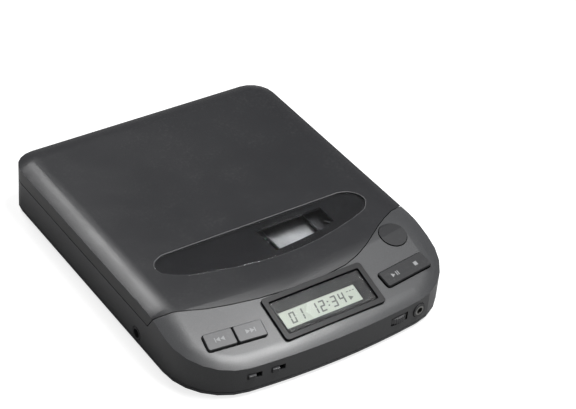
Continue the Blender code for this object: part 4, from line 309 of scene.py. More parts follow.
def grain_group():
    """Fine pebbled grain of textured paint or moulded plastic."""
    found = bpy.data.node_groups.get("moulded_grain")
    if found:
        return found
    group, given, out = new_group(
        "moulded_grain",
        (("Vector", "Vector", None), ("Scale", "Float", 2500.0),
         ("Speckle", "Float", 0.15), ("Colour", "Color", (0.04, 0.04, 0.04, 1)),
         ("Roughness", "Float", 0.45)),
        (("Colour", "Color"), ("Roughness", "Float"), ("Height", "Float")))
    vector = given.outputs["Vector"]
    cells = group.nodes.new("ShaderNodeTexVoronoi")
    cells.feature = "SMOOTH_F1"
    feed(vector, cells.inputs["Vector"])
    feed(given.outputs["Scale"], cells.inputs["Scale"])
    fine = noise_node(group, vector, given.outputs["Scale"], detail=3.0)
    broad = noise_node(group, vector, scale=28.0, detail=3.0)
    height = math_node(group, "MULTIPLY_ADD", fine, 0.6, cells.outputs["Distance"])
    light = mix_colour(group, 1.0, given.outputs["Colour"], (2.1, 2.1, 2.15), "MULTIPLY")
    dark = mix_colour(group, 1.0, given.outputs["Colour"], (0.7, 0.7, 0.72), "MULTIPLY")
    spots = ramp_node(group, fine, 0.35, 0.72)
    spots = math_node(group, "MULTIPLY", spots, given.outputs["Speckle"])
    shade = ramp_node(group, broad, 0.3, 0.7, 0.0, 0.25)
    colour = mix_colour(group, shade, given.outputs["Colour"], dark)
    colour = mix_colour(group, spots, colour, light)
    feed(colour, out.inputs["Colour"])
    rough = ramp_node(group, broad, 0.25, 0.75, -0.05, 0.06)
    rough = math_node(group, "ADD", rough, given.outputs["Roughness"], clamp=True)
    feed(rough, out.inputs["Roughness"])
    feed(height, out.inputs["Height"])
    return group


def dust_group():
    """Light dust and fine scuffs that settle on upward faces."""
    found = bpy.data.node_groups.get("settled_dust")
    if found:
        return found
    group, given, out = new_group(
        "settled_dust",
        (("Vector", "Vector", None), ("Amount", "Float", 0.1),
         ("Colour", "Color", (0.04, 0.04, 0.04, 1)), ("Roughness", "Float", 0.45)),
        (("Colour", "Color"), ("Roughness", "Float")))
    facing = group.nodes.new("ShaderNodeNewGeometry")
    split = group.nodes.new("ShaderNodeSeparateXYZ")
    feed(facing.outputs["Normal"], split.inputs[0])
    up = ramp_node(group, split.outputs["Z"], 0.2, 1.0)
    clouds = noise_node(group, given.outputs["Vector"], scale=60.0, detail=5.0, roughness=0.7)
    specks = noise_node(group, given.outputs["Vector"], scale=900.0, detail=1.0)
    mask = math_node(group, "MULTIPLY", ramp_node(group, clouds, 0.42, 0.7),
                     ramp_node(group, specks, 0.5, 0.75))
    mask = math_node(group, "MULTIPLY", mask, up)
    mask = math_node(group, "MULTIPLY", mask, given.outputs["Amount"], clamp=True)
    dusted = mix_colour(group, mask, given.outputs["Colour"], (0.45, 0.44, 0.42))
    feed(dusted, out.inputs["Colour"])
    rough = math_node(group, "MULTIPLY_ADD", mask, 0.3, given.outputs["Roughness"])
    feed(rough, out.inputs["Roughness"])
    return group


def brushed_group():
    """Long fine lines of rolled or ground metal, and faint stains."""
    found = bpy.data.node_groups.get("ground_metal")
    if found:
        return found
    group, given, out = new_group(
        "ground_metal",
        (("Vector", "Vector", None), ("Colour", "Color", (0.6, 0.6, 0.6, 1)),
         ("Roughness", "Float", 0.3), ("Stretch", "Vector", (1.0, 40.0, 40.0))),
        (("Colour", "Color"), ("Roughness", "Float"), ("Height", "Float")))
    scaled = group.nodes.new("ShaderNodeVectorMath")
    scaled.operation = "MULTIPLY"
    feed(given.outputs["Vector"], scaled.inputs[0])
    feed(given.outputs["Stretch"], scaled.inputs[1])
    lines = noise_node(group, scaled.outputs[0], scale=120.0, detail=4.0, roughness=0.65)
    stains = noise_node(group, given.outputs["Vector"], scale=90.0, detail=3.0)
    dark = mix_colour(group, 1.0, given.outputs["Colour"], (0.72, 0.72, 0.72), "MULTIPLY")
    streaks = ramp_node(group, lines, 0.35, 0.65, 0.0, 0.5)
    feed(mix_colour(group, streaks, given.outputs["Colour"], dark), out.inputs["Colour"])
    rough = math_node(group, "ADD", ramp_node(group, stains, 0.3, 0.7, -0.05, 0.1),
                      given.outputs["Roughness"], clamp=True)
    feed(rough, out.inputs["Roughness"])
    feed(lines, out.inputs["Height"])
    return group


# Finishes


def new_finish(name):
    """A material with its Principled shader and Object coordinates."""
    made = bpy.data.materials.new(name)
    made.use_nodes = True
    tree = made.node_tree
    shader = tree.nodes["Principled BSDF"]
    place = tree.nodes.new("ShaderNodeTexCoord").outputs["Object"]
    return made, tree, shader, place


def add_bump(tree, shader, height, depth):
    """Raises a finish by a height map."""
    bump = tree.nodes.new("ShaderNodeBump")
    bump.inputs["Distance"].default_value = depth
    feed(height, bump.inputs["Height"])
    feed(bump.outputs["Normal"], shader.inputs["Normal"])


def moulded(name, colour, roughness, grain=0.35 * MM, depth=0.02 * MM, speckle=0.15, dust=0.1, specular=0.5):
    """Moulded plastic or textured paint."""
    found = bpy.data.materials.get(name)
    if found:
        return found
    made, tree, shader, place = new_finish(name)
    surface = group_node(tree, grain_group(), place, Scale=1 / grain, Speckle=speckle, Colour=colour,
                         Roughness=roughness)
    dusty = group_node(tree, dust_group(), place, Amount=dust, Colour=surface.outputs["Colour"],
                       Roughness=surface.outputs["Roughness"])
    feed(dusty.outputs["Colour"], shader.inputs["Base Color"])
    feed(dusty.outputs["Roughness"], shader.inputs["Roughness"])
    shader.inputs["Specular IOR Level"].default_value = specular
    add_bump(tree, shader, surface.outputs["Height"], depth)
    return made


def metal(name, colour, roughness, stretch=(1, 40, 40), depth=0.004 * MM):
    """Rolled, ground or plated metal."""
    found = bpy.data.materials.get(name)
    if found:
        return found
    made, tree, shader, place = new_finish(name)
    surface = group_node(tree, brushed_group(), place, Colour=colour, Roughness=roughness)
    surface.inputs["Stretch"].default_value = stretch
    feed(surface.outputs["Colour"], shader.inputs["Base Color"])
    feed(surface.outputs["Roughness"], shader.inputs["Roughness"])
    shader.inputs["Metallic"].default_value = 1
    add_bump(tree, shader, surface.outputs["Height"], depth)
    return made


def clear(name, colour, roughness, ior, transmission=1.0):
    """Tinted clear plastic or glass with faint wipe marks, which lets most light through."""
    found = bpy.data.materials.get(name)
    if found:
        return found
    made, tree, shader, place = new_finish(name)
    marks = noise_node(tree, place, scale=140.0, detail=5.0, roughness=0.6)
    feed(ramp_node(tree, marks, 0.4, 0.8, roughness, roughness + 0.06), shader.inputs["Roughness"])
    wiped = tuple(min(1, c * 1.15 + 0.01) for c in colour)
    feed(mix_colour(tree, ramp_node(tree, marks, 0.5, 0.8, 0.0, 0.15), colour, wiped),
         shader.inputs["Base Color"])
    shader.inputs["IOR"].default_value = ior
    shader.inputs["Transmission Weight"].default_value = transmission
    rays = tree.nodes.new("ShaderNodeLightPath")
    cast = math_node(tree, "MULTIPLY", rays.outputs["Is Shadow Ray"], 0.8)
    feed(math_node(tree, "SUBTRACT", 1.0, cast), shader.inputs["Alpha"])
    return made


def circuit_board(name, colour):
    """Green lacquered board with copper tracks and pads under the lacquer."""
    found = bpy.data.materials.get(name)
    if found:
        return found
    made, tree, shader, place = new_finish(name)
    tracks = tree.nodes.new("ShaderNodeTexBrick")
    for socket, value in (("Scale", 260.0), ("Mortar Size", 0.09), ("Mortar Smooth", 0.1), ("Bias", 0.0),
                          ("Brick Width", 1.7), ("Row Height", 0.34)):
        tracks.inputs[socket].default_value = value
    tracks.inputs["Color1"].default_value = (0, 0, 0, 1)
    tracks.inputs["Color2"].default_value = (0, 0, 0, 1)
    tracks.inputs["Mortar"].default_value = (1, 1, 1, 1)
    feed(place, tracks.inputs["Vector"])
    pads = tree.nodes.new("ShaderNodeTexVoronoi")
    pads.inputs["Scale"].default_value = 330.0
    feed(place, pads.inputs["Vector"])
    dots = ramp_node(tree, pads.outputs["Distance"], 0.16, 0.2, 1.0, 0.0)
    lines = math_node(tree, "MULTIPLY", tracks.outputs["Fac"], 0.6)
    bright = tuple(min(1, c * 2.2 + 0.03) for c in colour)
    lacquer = mix_colour(tree, lines, colour, bright)
    feed(mix_colour(tree, dots, lacquer, (0.62, 0.6, 0.5)), shader.inputs["Base Color"])
    feed(ramp_node(tree, dots, 0.0, 1.0, 0.32, 0.25), shader.inputs["Roughness"])
    feed(dots, shader.inputs["Metallic"])
    add_bump(tree, shader, math_node(tree, "ADD", lines, dots), 0.03 * MM)
    return made


# Making and placing pieces


def keep(piece, node, material):
    """Gives a piece its finish and puts it in the place of a CAD node."""
    piece.data.materials.clear()
    piece.data.materials.append(material)
    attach(piece, BODY_OF[node])
    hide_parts(node)


def extra(piece, body, material):
    """Gives a further piece its finish and its body."""
    piece.data.materials.clear()
    piece.data.materials.append(material)
    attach(piece, body)


def add_piece(name, mesh):
    """Puts a mesh into the scene."""
    made = bpy.data.objects.new(name, mesh)
    bpy.context.scene.collection.objects.link(made)
    return made


def smooth_piece(name, bm):
    """A piece from a bmesh, shaded smooth between its sharp edges."""
    mesh = bpy.data.meshes.new(name)
    bm.to_mesh(mesh)
    bm.free()
    mesh.shade_smooth()
    mesh.set_sharp_from_angle(angle=SHARP_ANGLE)
    return add_piece(name, mesh)


def from_bmesh(name, bm):
    """A smooth piece from a bmesh, with its points merged and its faces turned outwards."""
    bmesh.ops.remove_doubles(bm, verts=bm.verts, dist=MERGE_REACH)
    bmesh.ops.recalc_face_normals(bm, faces=bm.faces)
    return smooth_piece(name, bm)


def baked(piece):
    """Turns the evaluated piece into a plain mesh."""
    graph = bpy.context.evaluated_depsgraph_get()
    mesh = bpy.data.meshes.new_from_object(piece.evaluated_get(graph), depsgraph=graph)
    old = piece.data
    piece.modifiers.clear()
    piece.data = mesh
    bpy.data.meshes.remove(old)
    return piece


def skin(node, material, bevel=0.0, segments=2):
    """Copies a CAD node whose shape is right, smooths its curves, rounds its edges and finishes it."""
    bm = bmesh.new()
    bm.from_mesh(frame["nodes"][node].data)
    bmesh.ops.remove_doubles(bm, verts=bm.verts, dist=2 * MERGE_REACH)
    bmesh.ops.dissolve_limit(bm, angle_limit=FLAT_ANGLE, verts=bm.verts, edges=bm.edges)
    piece = smooth_piece(node + "_outside", bm)
    if bevel:
        round_edges = piece.modifiers.new("round_edges", "BEVEL")
        round_edges.width = bevel
        round_edges.segments = segments
        round_edges.limit_method = "ANGLE"
        round_edges.angle_limit = EDGE_ANGLE
        round_edges.miter_outer = "MITER_ARC"
    even_shading = piece.modifiers.new("even_shading", "WEIGHTED_NORMAL")
    even_shading.keep_sharp = True
    even_shading.weight = LARGE_FACE_WEIGHT
    keep(baked(piece), node, material)


def block(bm, low, high, place=HERE):
    """A box between two corners, added to a bmesh."""
    low, high = Vector(low), Vector(high)
    fit = Matrix.Translation((low + high) / 2) @ Matrix.Diagonal((*(high - low), 1))
    bmesh.ops.create_cube(bm, size=1, matrix=place @ fit)


def prism(bm, outline, low, high, place=HERE):
    """A flat convex outline made thick, added to a bmesh."""
    lower = [bm.verts.new(place @ Vector((x, y, low))) for x, y in outline]
    upper = [bm.verts.new(place @ Vector((x, y, high))) for x, y in outline]
    bm.faces.new(lower[::-1])
    bm.faces.new(upper)
    for i in range(len(outline)):
        n = (i + 1) % len(outline)
        bm.faces.new((lower[i], lower[n], upper[n], upper[i]))


def lathe(bm, profile, sides, place):
    """A closed profile of (radius, height) points turned about the Z axis of its place."""
    steps = [2 * math.pi * i / sides for i in range(sides)]
    rings = [[bm.verts.new(place @ Vector((radius * math.cos(a), radius * math.sin(a), height)))
              for a in (steps if radius else steps[:1])] for radius, height in profile]
    pairs = list(zip(rings, rings[1:]))
    if len(rings[0]) > 1 and len(rings[-1]) > 1:
        pairs.append((rings[-1], rings[0]))
    for a, b in pairs:
        for i in range(sides):
            n = (i + 1) % sides
            corners = dict.fromkeys((a[i % len(a)], a[n % len(a)], b[n % len(b)], b[i % len(b)]))
            if len(corners) > 2:
                bm.faces.new(list(corners))


# Geometry Nodes trees for what repeats


def new_tree(name, inputs):
    """An empty tree whose inputs are those given, the bar's size and the material."""
    tree = bpy.data.node_groups.new(name, "GeometryNodeTree")
    tree.interface.new_socket("Geometry", in_out="OUTPUT", socket_type="NodeSocketGeometry")
    for socket, kind in (*inputs, ("Bar Size", "Vector"), ("Material", "Material")):
        tree.interface.new_socket(socket, in_out="INPUT", socket_type="NodeSocket" + kind)
    return tree, tree.nodes.new("NodeGroupInput"), tree.nodes.new("NodeGroupOutput")


def bars_on(tree, given, out, points, turn=None):
    """Puts a bar on each point, makes the instances real, sets the material and ends the tree."""
    bar = tree.nodes.new("GeometryNodeMeshCube")
    feed(given.outputs["Bar Size"], bar.inputs["Size"])
    spread = tree.nodes.new("GeometryNodeInstanceOnPoints")
    feed(points, spread.inputs["Points"])
    feed(bar.outputs["Mesh"], spread.inputs["Instance"])
    if turn is not None:
        feed(turn, spread.inputs["Rotation"])
    real = tree.nodes.new("GeometryNodeRealizeInstances")
    finish = tree.nodes.new("GeometryNodeSetMaterial")
    feed(spread.outputs[0], real.inputs[0])
    feed(real.outputs[0], finish.inputs["Geometry"])
    feed(given.outputs["Material"], finish.inputs["Material"])
    feed(finish.outputs[0], out.inputs[0])
    return tree


def ring_tree():
    """Bars that stand round a circle, each pointing outwards."""
    found = bpy.data.node_groups.get("ring_of_bars")
    if found:
        return found
    tree, given, out = new_tree("ring_of_bars", (("Count", "Int"), ("Radius", "Float")))
    circle = tree.nodes.new("GeometryNodeMeshCircle")
    feed(given.outputs["Count"], circle.inputs["Vertices"])
    feed(given.outputs["Radius"], circle.inputs["Radius"])
    place = tree.nodes.new("GeometryNodeInputPosition")
    turn = tree.nodes.new("FunctionNodeAlignRotationToVector")
    turn.axis = "X"
    feed(place.outputs[0], turn.inputs["Vector"])
    return bars_on(tree, given, out, circle.outputs[0], turn.outputs[0])


def grid_tree():
    """Bars on the points of a grid."""
    found = bpy.data.node_groups.get("grid_of_bars")
    if found:
        return found
    tree, given, out = new_tree("grid_of_bars", (("Columns", "Int"), ("Rows", "Int"),
                                                 ("Width", "Float"), ("Depth", "Float")))
    grid = tree.nodes.new("GeometryNodeMeshGrid")
    for socket, name in (("Size X", "Width"), ("Size Y", "Depth"), ("Vertices X", "Columns"),
                         ("Vertices Y", "Rows")):
        feed(given.outputs[name], grid.inputs[socket])
    return bars_on(tree, given, out, grid.outputs["Mesh"])


def scatter_tree():
    """Small block-shaped components strewn over a board, each turned by nothing or a quarter."""
    found = bpy.data.node_groups.get("strewn_components")
    if found:
        return found
    tree, given, out = new_tree("strewn_components", (
        ("Width", "Float"), ("Depth", "Float"), ("Spacing", "Float"),
        ("Seed", "Int")))
    grid = tree.nodes.new("GeometryNodeMeshGrid")
    feed(given.outputs["Width"], grid.inputs["Size X"])
    feed(given.outputs["Depth"], grid.inputs["Size Y"])
    strew = tree.nodes.new("GeometryNodeDistributePointsOnFaces")
    strew.distribute_method = "POISSON"
    strew.inputs["Density Max"].default_value = COMPONENTS_PER_SQUARE_METRE
    feed(grid.outputs["Mesh"], strew.inputs["Mesh"])
    feed(given.outputs["Spacing"], strew.inputs["Distance Min"])
    feed(given.outputs["Seed"], strew.inputs["Seed"])
    pick = tree.nodes.new("FunctionNodeRandomValue")
    pick.data_type = "INT"
    for socket, value in zip((s for s in pick.inputs if s.type == "INT"), (0, 1)):
        socket.default_value = value
    feed(given.outputs["Seed"], pick.inputs["Seed"])
    picked = next(s for s in pick.outputs if s.type == "INT")
    turn = tree.nodes.new("ShaderNodeCombineXYZ")
    feed(math_node(tree, "MULTIPLY", picked, math.pi / 2), turn.inputs["Z"])
    return bars_on(tree, given, out, strew.outputs["Points"], turn.outputs[0])


def grow(name, tree, values, matrix):
    """Runs a Geometry Nodes tree and returns its result as a plain mesh put in place."""
    piece = add_piece(name, bpy.data.meshes.new(name))
    step = piece.modifiers.new("pattern", "NODES")
    step.node_group = tree
    sockets = {item.name: item.identifier for item in tree.interface.items_tree
               if item.item_type == "SOCKET" and item.in_out == "INPUT"}
    for key, value in values.items():
        step[sockets[key]] = value
    baked(piece)
    piece.data.transform(matrix)
    piece.data.shade_flat()
    return piece


def merged(name, *pieces):
    """One piece made of the meshes of several pieces, which are removed."""
    bm = bmesh.new()
    for piece in pieces:
        mesh = piece.data
        bm.from_mesh(mesh)
        bpy.data.objects.remove(piece)
        bpy.data.meshes.remove(mesh)
    return smooth_piece(name, bm)


def black_plastic():
    return moulded("inner_black_plastic", (0.018, 0.018, 0.019), 0.5, speckle=0.05)


def white_plastic():
    return moulded("natural_acetal", (0.62, 0.61, 0.58), 0.42, depth=0.01 * MM, speckle=0.0, dust=0.15)


def soft_rubber():
    return moulded("black_rubber", (0.022, 0.022, 0.023), 0.78, grain=0.5 * MM, speckle=0.1, dust=0.35)


def bright_steel():
    return metal("ground_steel", (0.66, 0.66, 0.67), 0.24)


def rolled_steel():
    return metal("rolled_steel", (0.6, 0.61, 0.62), 0.32, stretch=(40, 1, 40))


# Operators, one for each group of pieces


class PLAYER_OT_shells(bpy.types.Operator):
    """Finish the lid, the upper case, the bottom pan and the feet"""
    bl_idname = "player.shells"
    bl_label = "Shells"

    def execute(self, context):
        look = context.scene.player_case
        grain, depth = look.grain_size, look.grain_depth
        paint = {"grain": grain, "depth": depth, "speckle": 0.32, "dust": 0.03}
        lid = moulded("lid_paint", look.lid_colour, 0.35, **paint)
        deck = moulded("deck_paint", look.deck_colour, 0.36, **paint)
        base = moulded("base_plastic", look.base_colour, 0.46, grain * 1.4, depth * 1.5, speckle=0.12,
                       dust=0.12)
        skin("lid_shell", lid, look.edge_round)
        skin("top_case", deck, look.edge_round)
        skin("bottom_case", base, look.edge_round)
        skin("battery_door", base, look.edge_round)
        rubber = soft_rubber()
        for corner in CORNERS:
            skin("rubber_foot_" + corner, rubber, SOFT_EDGE)
        screws = metal("blackened_steel", (0.1, 0.1, 0.105), 0.4)
        for corner in CORNERS:
            skin("case_screw_" + corner, screws, FINE_EDGE)
        steel = bright_steel()
        for node in ("hinge_pin_left", "hinge_pin_right"):
            skin(node, steel)
        skin("lid_catch", black_plastic(), SOFT_EDGE)
        skin("latch_slide", white_plastic(), SOFT_EDGE)
        return {"FINISHED"}


class PLAYER_OT_underside(bpy.types.Operator):
    """Add the arrow and grip ridges of the battery door, and the vent slots"""
    bl_idname = "player.underside"
    bl_label = "Underside"

    def execute(self, context):
        base = bpy.data.materials["base_plastic"]
        low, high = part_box("battery_door")
        bm = bmesh.new()
        middle = (low.y + high.y) / 2
        half, back, tip = 3 * MM, middle + 2 * MM, middle + 5.5 * MM
        raised, sunk = 0.12 * MM, 0.2 * MM
        prism(bm, ((-half, back), (half, back), (0, tip)), low.z - raised, low.z + sunk)
        arrow = from_bmesh("door_arrow", bm)
        extra(arrow, "battery_door", base)
        ridges = grow("door_ridges", grid_tree(),
                      {"Columns": 1, "Rows": 6, "Width": 0.0, "Depth": 6.5 * MM,
                       "Bar Size": (26 * MM, 0.45 * MM, 0.4 * MM), "Material": base},
                      Matrix.Translation((0, high.y - 6.5 * MM, low.z + 0.05 * MM)))
        extra(ridges, "battery_door", base)
        dark = black_plastic()
        vents = grow("base_vents", grid_tree(),
                     {"Columns": 12, "Rows": 2, "Width": 33 * MM, "Depth": 17 * MM,
                      "Bar Size": (1.2 * MM, 13 * MM, 0.3 * MM), "Material": dark},
                     Matrix.Translation(VENTS_SPOT))
        extra(vents, "case", dark)
        return {"FINISHED"}


def rounded(width, height, radius, steps=5):
    """Outline of a rectangle with round corners, about the origin."""
    points = []
    for quarter, (sx, sy) in enumerate(((1, 1), (-1, 1), (-1, -1), (1, -1))):
        for i in range(steps + 1):
            angle = (quarter + i / steps) * math.pi / 2
            points.append((sx * (width / 2 - radius) + radius * math.cos(angle),
                           sy * (height / 2 - radius) + radius * math.sin(angle)))
    return points


class PLAYER_OT_window(bpy.types.Operator):
    """Finish the tinted window, its black mask, its rim and the liner behind it"""
    bl_idname = "player.window"
    bl_label = "Lid window"

    def execute(self, context):
        glass = clear("smoked_window", (0.66, 0.67, 0.68), 0.03, 1.3)
        skin("lid_window", glass, ROUND_EDGE, 3)
        mask = moulded("black_screen_print", (0.006, 0.006, 0.007), 0.5, speckle=0.02, dust=0.0,
                       specular=0.15)
        skin("window_mask", mask)
        liner = moulded("liner_plastic", (0.03, 0.03, 0.032), 0.5, speckle=0.08, dust=0.12)
        skin("lid_liner", liner, MOULDED_EDGE)
        low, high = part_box("lid_liner")
        centre = (low + high) / 2
        ribs = grow("liner_ribs", ring_tree(),
                    {"Count": 36, "Radius": 49 * MM, "Bar Size": (5 * MM, 0.6 * MM, 0.4 * MM),
                     "Material": liner}, Matrix.Translation((centre.x, centre.y, low.z)))
        extra(ribs, "lid", liner)
        # The rim's pale grey paint is a painted highlight, which stands in for the light caught along the
        # window's lower edge.
        extra(window_rim(), "lid", moulded("window_rim_highlight_paint", (0.16, 0.16, 0.165), 0.35, speckle=0.1))
        return {"FINISHED"}


def window_rim():
    """Thin lip that fills the gap round the window."""
    low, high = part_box("lid_window")
    corners = frame["nodes"]["lid_window"].data.vertices
    points = sorted({(round(v.co.x, 6), round(v.co.y, 6)) for v in corners})
    centre = Vector(((low.x + high.x) / 2, (low.y + high.y) / 2))
    points = [Vector(p) for p in points]
    points.sort(key=lambda p: math.atan2(p.y - centre.y, p.x - centre.x))
    bm = bmesh.new()
    rings = []
    inner, crest, outer = 0.06 * MM, 0.16 * MM, 0.25 * MM
    foot, edge, lip = high.z - 0.5 * MM, high.z + 0.02 * MM, high.z + 0.1 * MM
    section = ((inner, foot), (inner, edge), (crest, lip), (outer, lip), (outer, foot))
    for i, point in enumerate(points):
        along = points[(i + 1) % len(points)] - points[i - 1]
        outward = Vector((along.y, -along.x)).normalized()
        rings.append([bm.verts.new((*(point + outward * reach), height)) for reach, height in section])
    for i, ring in enumerate(rings):
        other = rings[(i + 1) % len(rings)]
        for a in range(len(section)):
            b = (a + 1) % len(section)
            bm.faces.new((ring[a], ring[b], other[b], other[a]))
    return from_bmesh("window_rim", bm)


SEGMENTS = {"0": "abcdef", "1": "bc", "2": "abged", "3": "abgcd", "4": "fgbc", "5": "afgcd", "6": "afgedc",
            "7": "abc", "8": "abcdefg", "9": "abcfgd"}


def digit(bm, sign, x, height, place):
    """Seven-segment digit or colon, slanted as on a liquid crystal display."""
    width, stroke, gap = height * 0.5, height * 0.13, height * 0.03
    half = height / 2
    spots = {"a": ((gap, height - stroke), (width - gap, height)), "d": ((gap, 0), (width - gap, stroke)),
             "g": ((gap, half - stroke / 2), (width - gap, half + stroke / 2)),
             "b": ((width - stroke, half + gap), (width, height - gap)),
             "c": ((width - stroke, gap), (width, half - gap)),
             "e": ((0, gap), (stroke, half - gap)), "f": ((0, half + gap), (stroke, height - gap))}
    for key in SEGMENTS.get(sign, ""):
        (x0, y0), (x1, y1) = spots[key]
        corners = ((x0, y0), (x1, y0), (x1, y1), (x0, y1))
        prism(bm, [(x + cx + cy * DIGIT_SLANT, cy) for cx, cy in corners], 0, DISPLAY_INK, place)
    if sign == ":":
        square = ((0, 0), (stroke, 0), (stroke, stroke), (0, stroke))
        for y in (height * 0.28, height * 0.62):
            prism(bm, [(x + a + y * DIGIT_SLANT, y + b) for a, b in square], 0, DISPLAY_INK, place)


class PLAYER_OT_display(bpy.types.Operator):
    """Finish the display: raised frame, clear plate, black surround, pale glass and digits"""
    bl_idname = "player.display"
    bl_label = "Display"

    def execute(self, context):
        look = context.scene.player_display
        spot = deck_frame(*DISPLAY_SPOT)
        frame_plastic = moulded("display_frame_plastic", (0.006, 0.006, 0.007), 0.35, 0.5 * MM, 0.006 * MM,
                                speckle=0.05, dust=0.02, specular=0.25)
        skin("lcd_bezel", frame_plastic, FRAME_EDGE, 3)
        skin("lcd_lens", clear("display_cover", (0.93, 0.94, 0.93), 0.02, 1.3), THIN_EDGE)
        ground = moulded("display_glass", look.glass_colour, 0.28, 0.2 * MM, 0.002 * MM, speckle=0.02,
                         dust=0.03)
        skin("lcd_panel", ground)
        left, right, front, rear = -20.6 * MM, 16.4 * MM, -5.4 * MM, 2.5 * MM
        bm = bmesh.new()
        across, along = 21.6 * MM, 7.6 * MM
        under, over, glass_top = -0.62 * MM, -0.46 * MM, -0.7 * MM
        for low, high in (((-across, rear), (across, along)), ((-across, -along), (across, front)),
                          ((-across, front), (left, rear)), ((right, front), (across, rear))):
            block(bm, (*low, under), (*high, over), spot)
        surround = from_bmesh("display_surround", bm)
        black = moulded("display_surround_ink", (0.005, 0.005, 0.006), 0.5, speckle=0.0, dust=0.0,
                        specular=0.15)
        extra(surround, "case", black)
        ink = moulded("display_digits", look.digit_colour, 0.4, speckle=0.0, dust=0.0)
        bm = bmesh.new()
        height = look.digit_height
        first_digit = -17.2 * MM
        place = spot @ Matrix.Translation((first_digit, (front + rear) / 2 - height / 2, glass_top))
        x = 0
        for sign in look.reading:
            digit(bm, sign, x, height, place)
            x += height * NARROW_PITCH.get(sign, DIGIT_PITCH)
        dash = rounded(width=1 * MM, height=0.35 * MM, radius=0.1 * MM)
        first_dash, dash_pitch, dash_rise = 29.2 * MM, 1.5 * MM, height * 0.86
        for i in range(3):
            prism(bm, dash, 0, DISPLAY_INK,
                  place @ Matrix.Translation((first_dash + i * dash_pitch, dash_rise, 0)))
        play_sign = ((28.6 * MM, 0.4 * MM), (30.6 * MM, 1.5 * MM), (28.6 * MM, 2.6 * MM))
        prism(bm, play_sign, 0, DISPLAY_INK, place)
        extra(from_bmesh("display_signs", bm), "case", ink)
        return {"FINISHED"}


def triangle(bm, x, size, way, place):
    """Printed triangle that points to the right, or to the left where way is -1."""
    reach = way * size * 0.85
    prism(bm, ((x, -size / 2), (x + reach, 0), (x, size / 2))[::way], 0, KEY_INK, place)


def printed_block(bm, x, width, height, place):
    """Printed upright block that starts at x."""
    block(bm, (x, -height / 2, 0), (x + width, height / 2, KEY_INK), place)


class PLAYER_OT_keys(bpy.types.Operator):
    """Finish the keys with their symbols, and the round open button"""
    bl_idname = "player.keys"
    bl_label = "Keys"

    def execute(self, context):
        look = context.scene.player_controls
        skip = moulded("skip_key_plastic", look.key_colour, 0.42, **FINE_GRAIN)
        bar = moulded("rocker_plastic", look.bar_colour, 0.4, specular=0.25, **FINE_GRAIN)
        for node in ("skip_back_key", "skip_forward_key"):
            skin(node, skip, ROUND_EDGE, 3)
        skin("play_stop_rocker", bar, ROUND_EDGE, 3)
        cap = moulded("open_button_plastic", look.bar_colour, 0.4, dust=0.05, specular=0.3, **FINE_GRAIN)
        skin("open_button", cap, FRAME_EDGE, 3)
        ink = moulded("key_symbol_ink", look.print_colour, 0.5, speckle=0.05, dust=0.05)
        on_top = Matrix.Translation((0, 0, KEY_LIFT - 0.02 * MM))
        spot = deck_frame(LEFT_KEYS_X, KEYS_Y) @ on_top
        size, bar_width, middle = 2.1 * MM, 0.4 * MM, 6.5 * MM
        for name, body, way in (("skip_back_symbol", "skip_back_key", -1),
                                ("skip_forward_symbol", "skip_forward_key", 1)):
            bm = bmesh.new()
            for step in (-1.9 * MM, 0.1 * MM):
                triangle(bm, way * (middle + step), size, way, spot)
            printed_block(bm, way * (middle + size) - bar_width / 2, bar_width, size, spot)
            extra(from_bmesh(name, bm), body, ink)
        spot = deck_frame(RIGHT_KEY_X, KEYS_Y) @ on_top
        size, bar_width, square = 2 * MM, 0.45 * MM, 1.8 * MM
        play_x, pause_x, stop_x = -7.6 * MM, (-5.2 * MM, -4.3 * MM), 5 * MM
        bm = bmesh.new()
        triangle(bm, play_x, size, 1, spot)
        for x in pause_x:
            printed_block(bm, x, bar_width, size, spot)
        printed_block(bm, stop_x, square, square, spot)
        extra(from_bmesh("play_stop_symbols", bm), "play_stop_rocker", ink)
        grey = moulded("mat_rubber", (0.2, 0.2, 0.2), 0.7, speckle=0.05)
        for node in ("left_key_mat", "right_key_mat"):
            skin(node, grey)
        return {"FINISHED"}


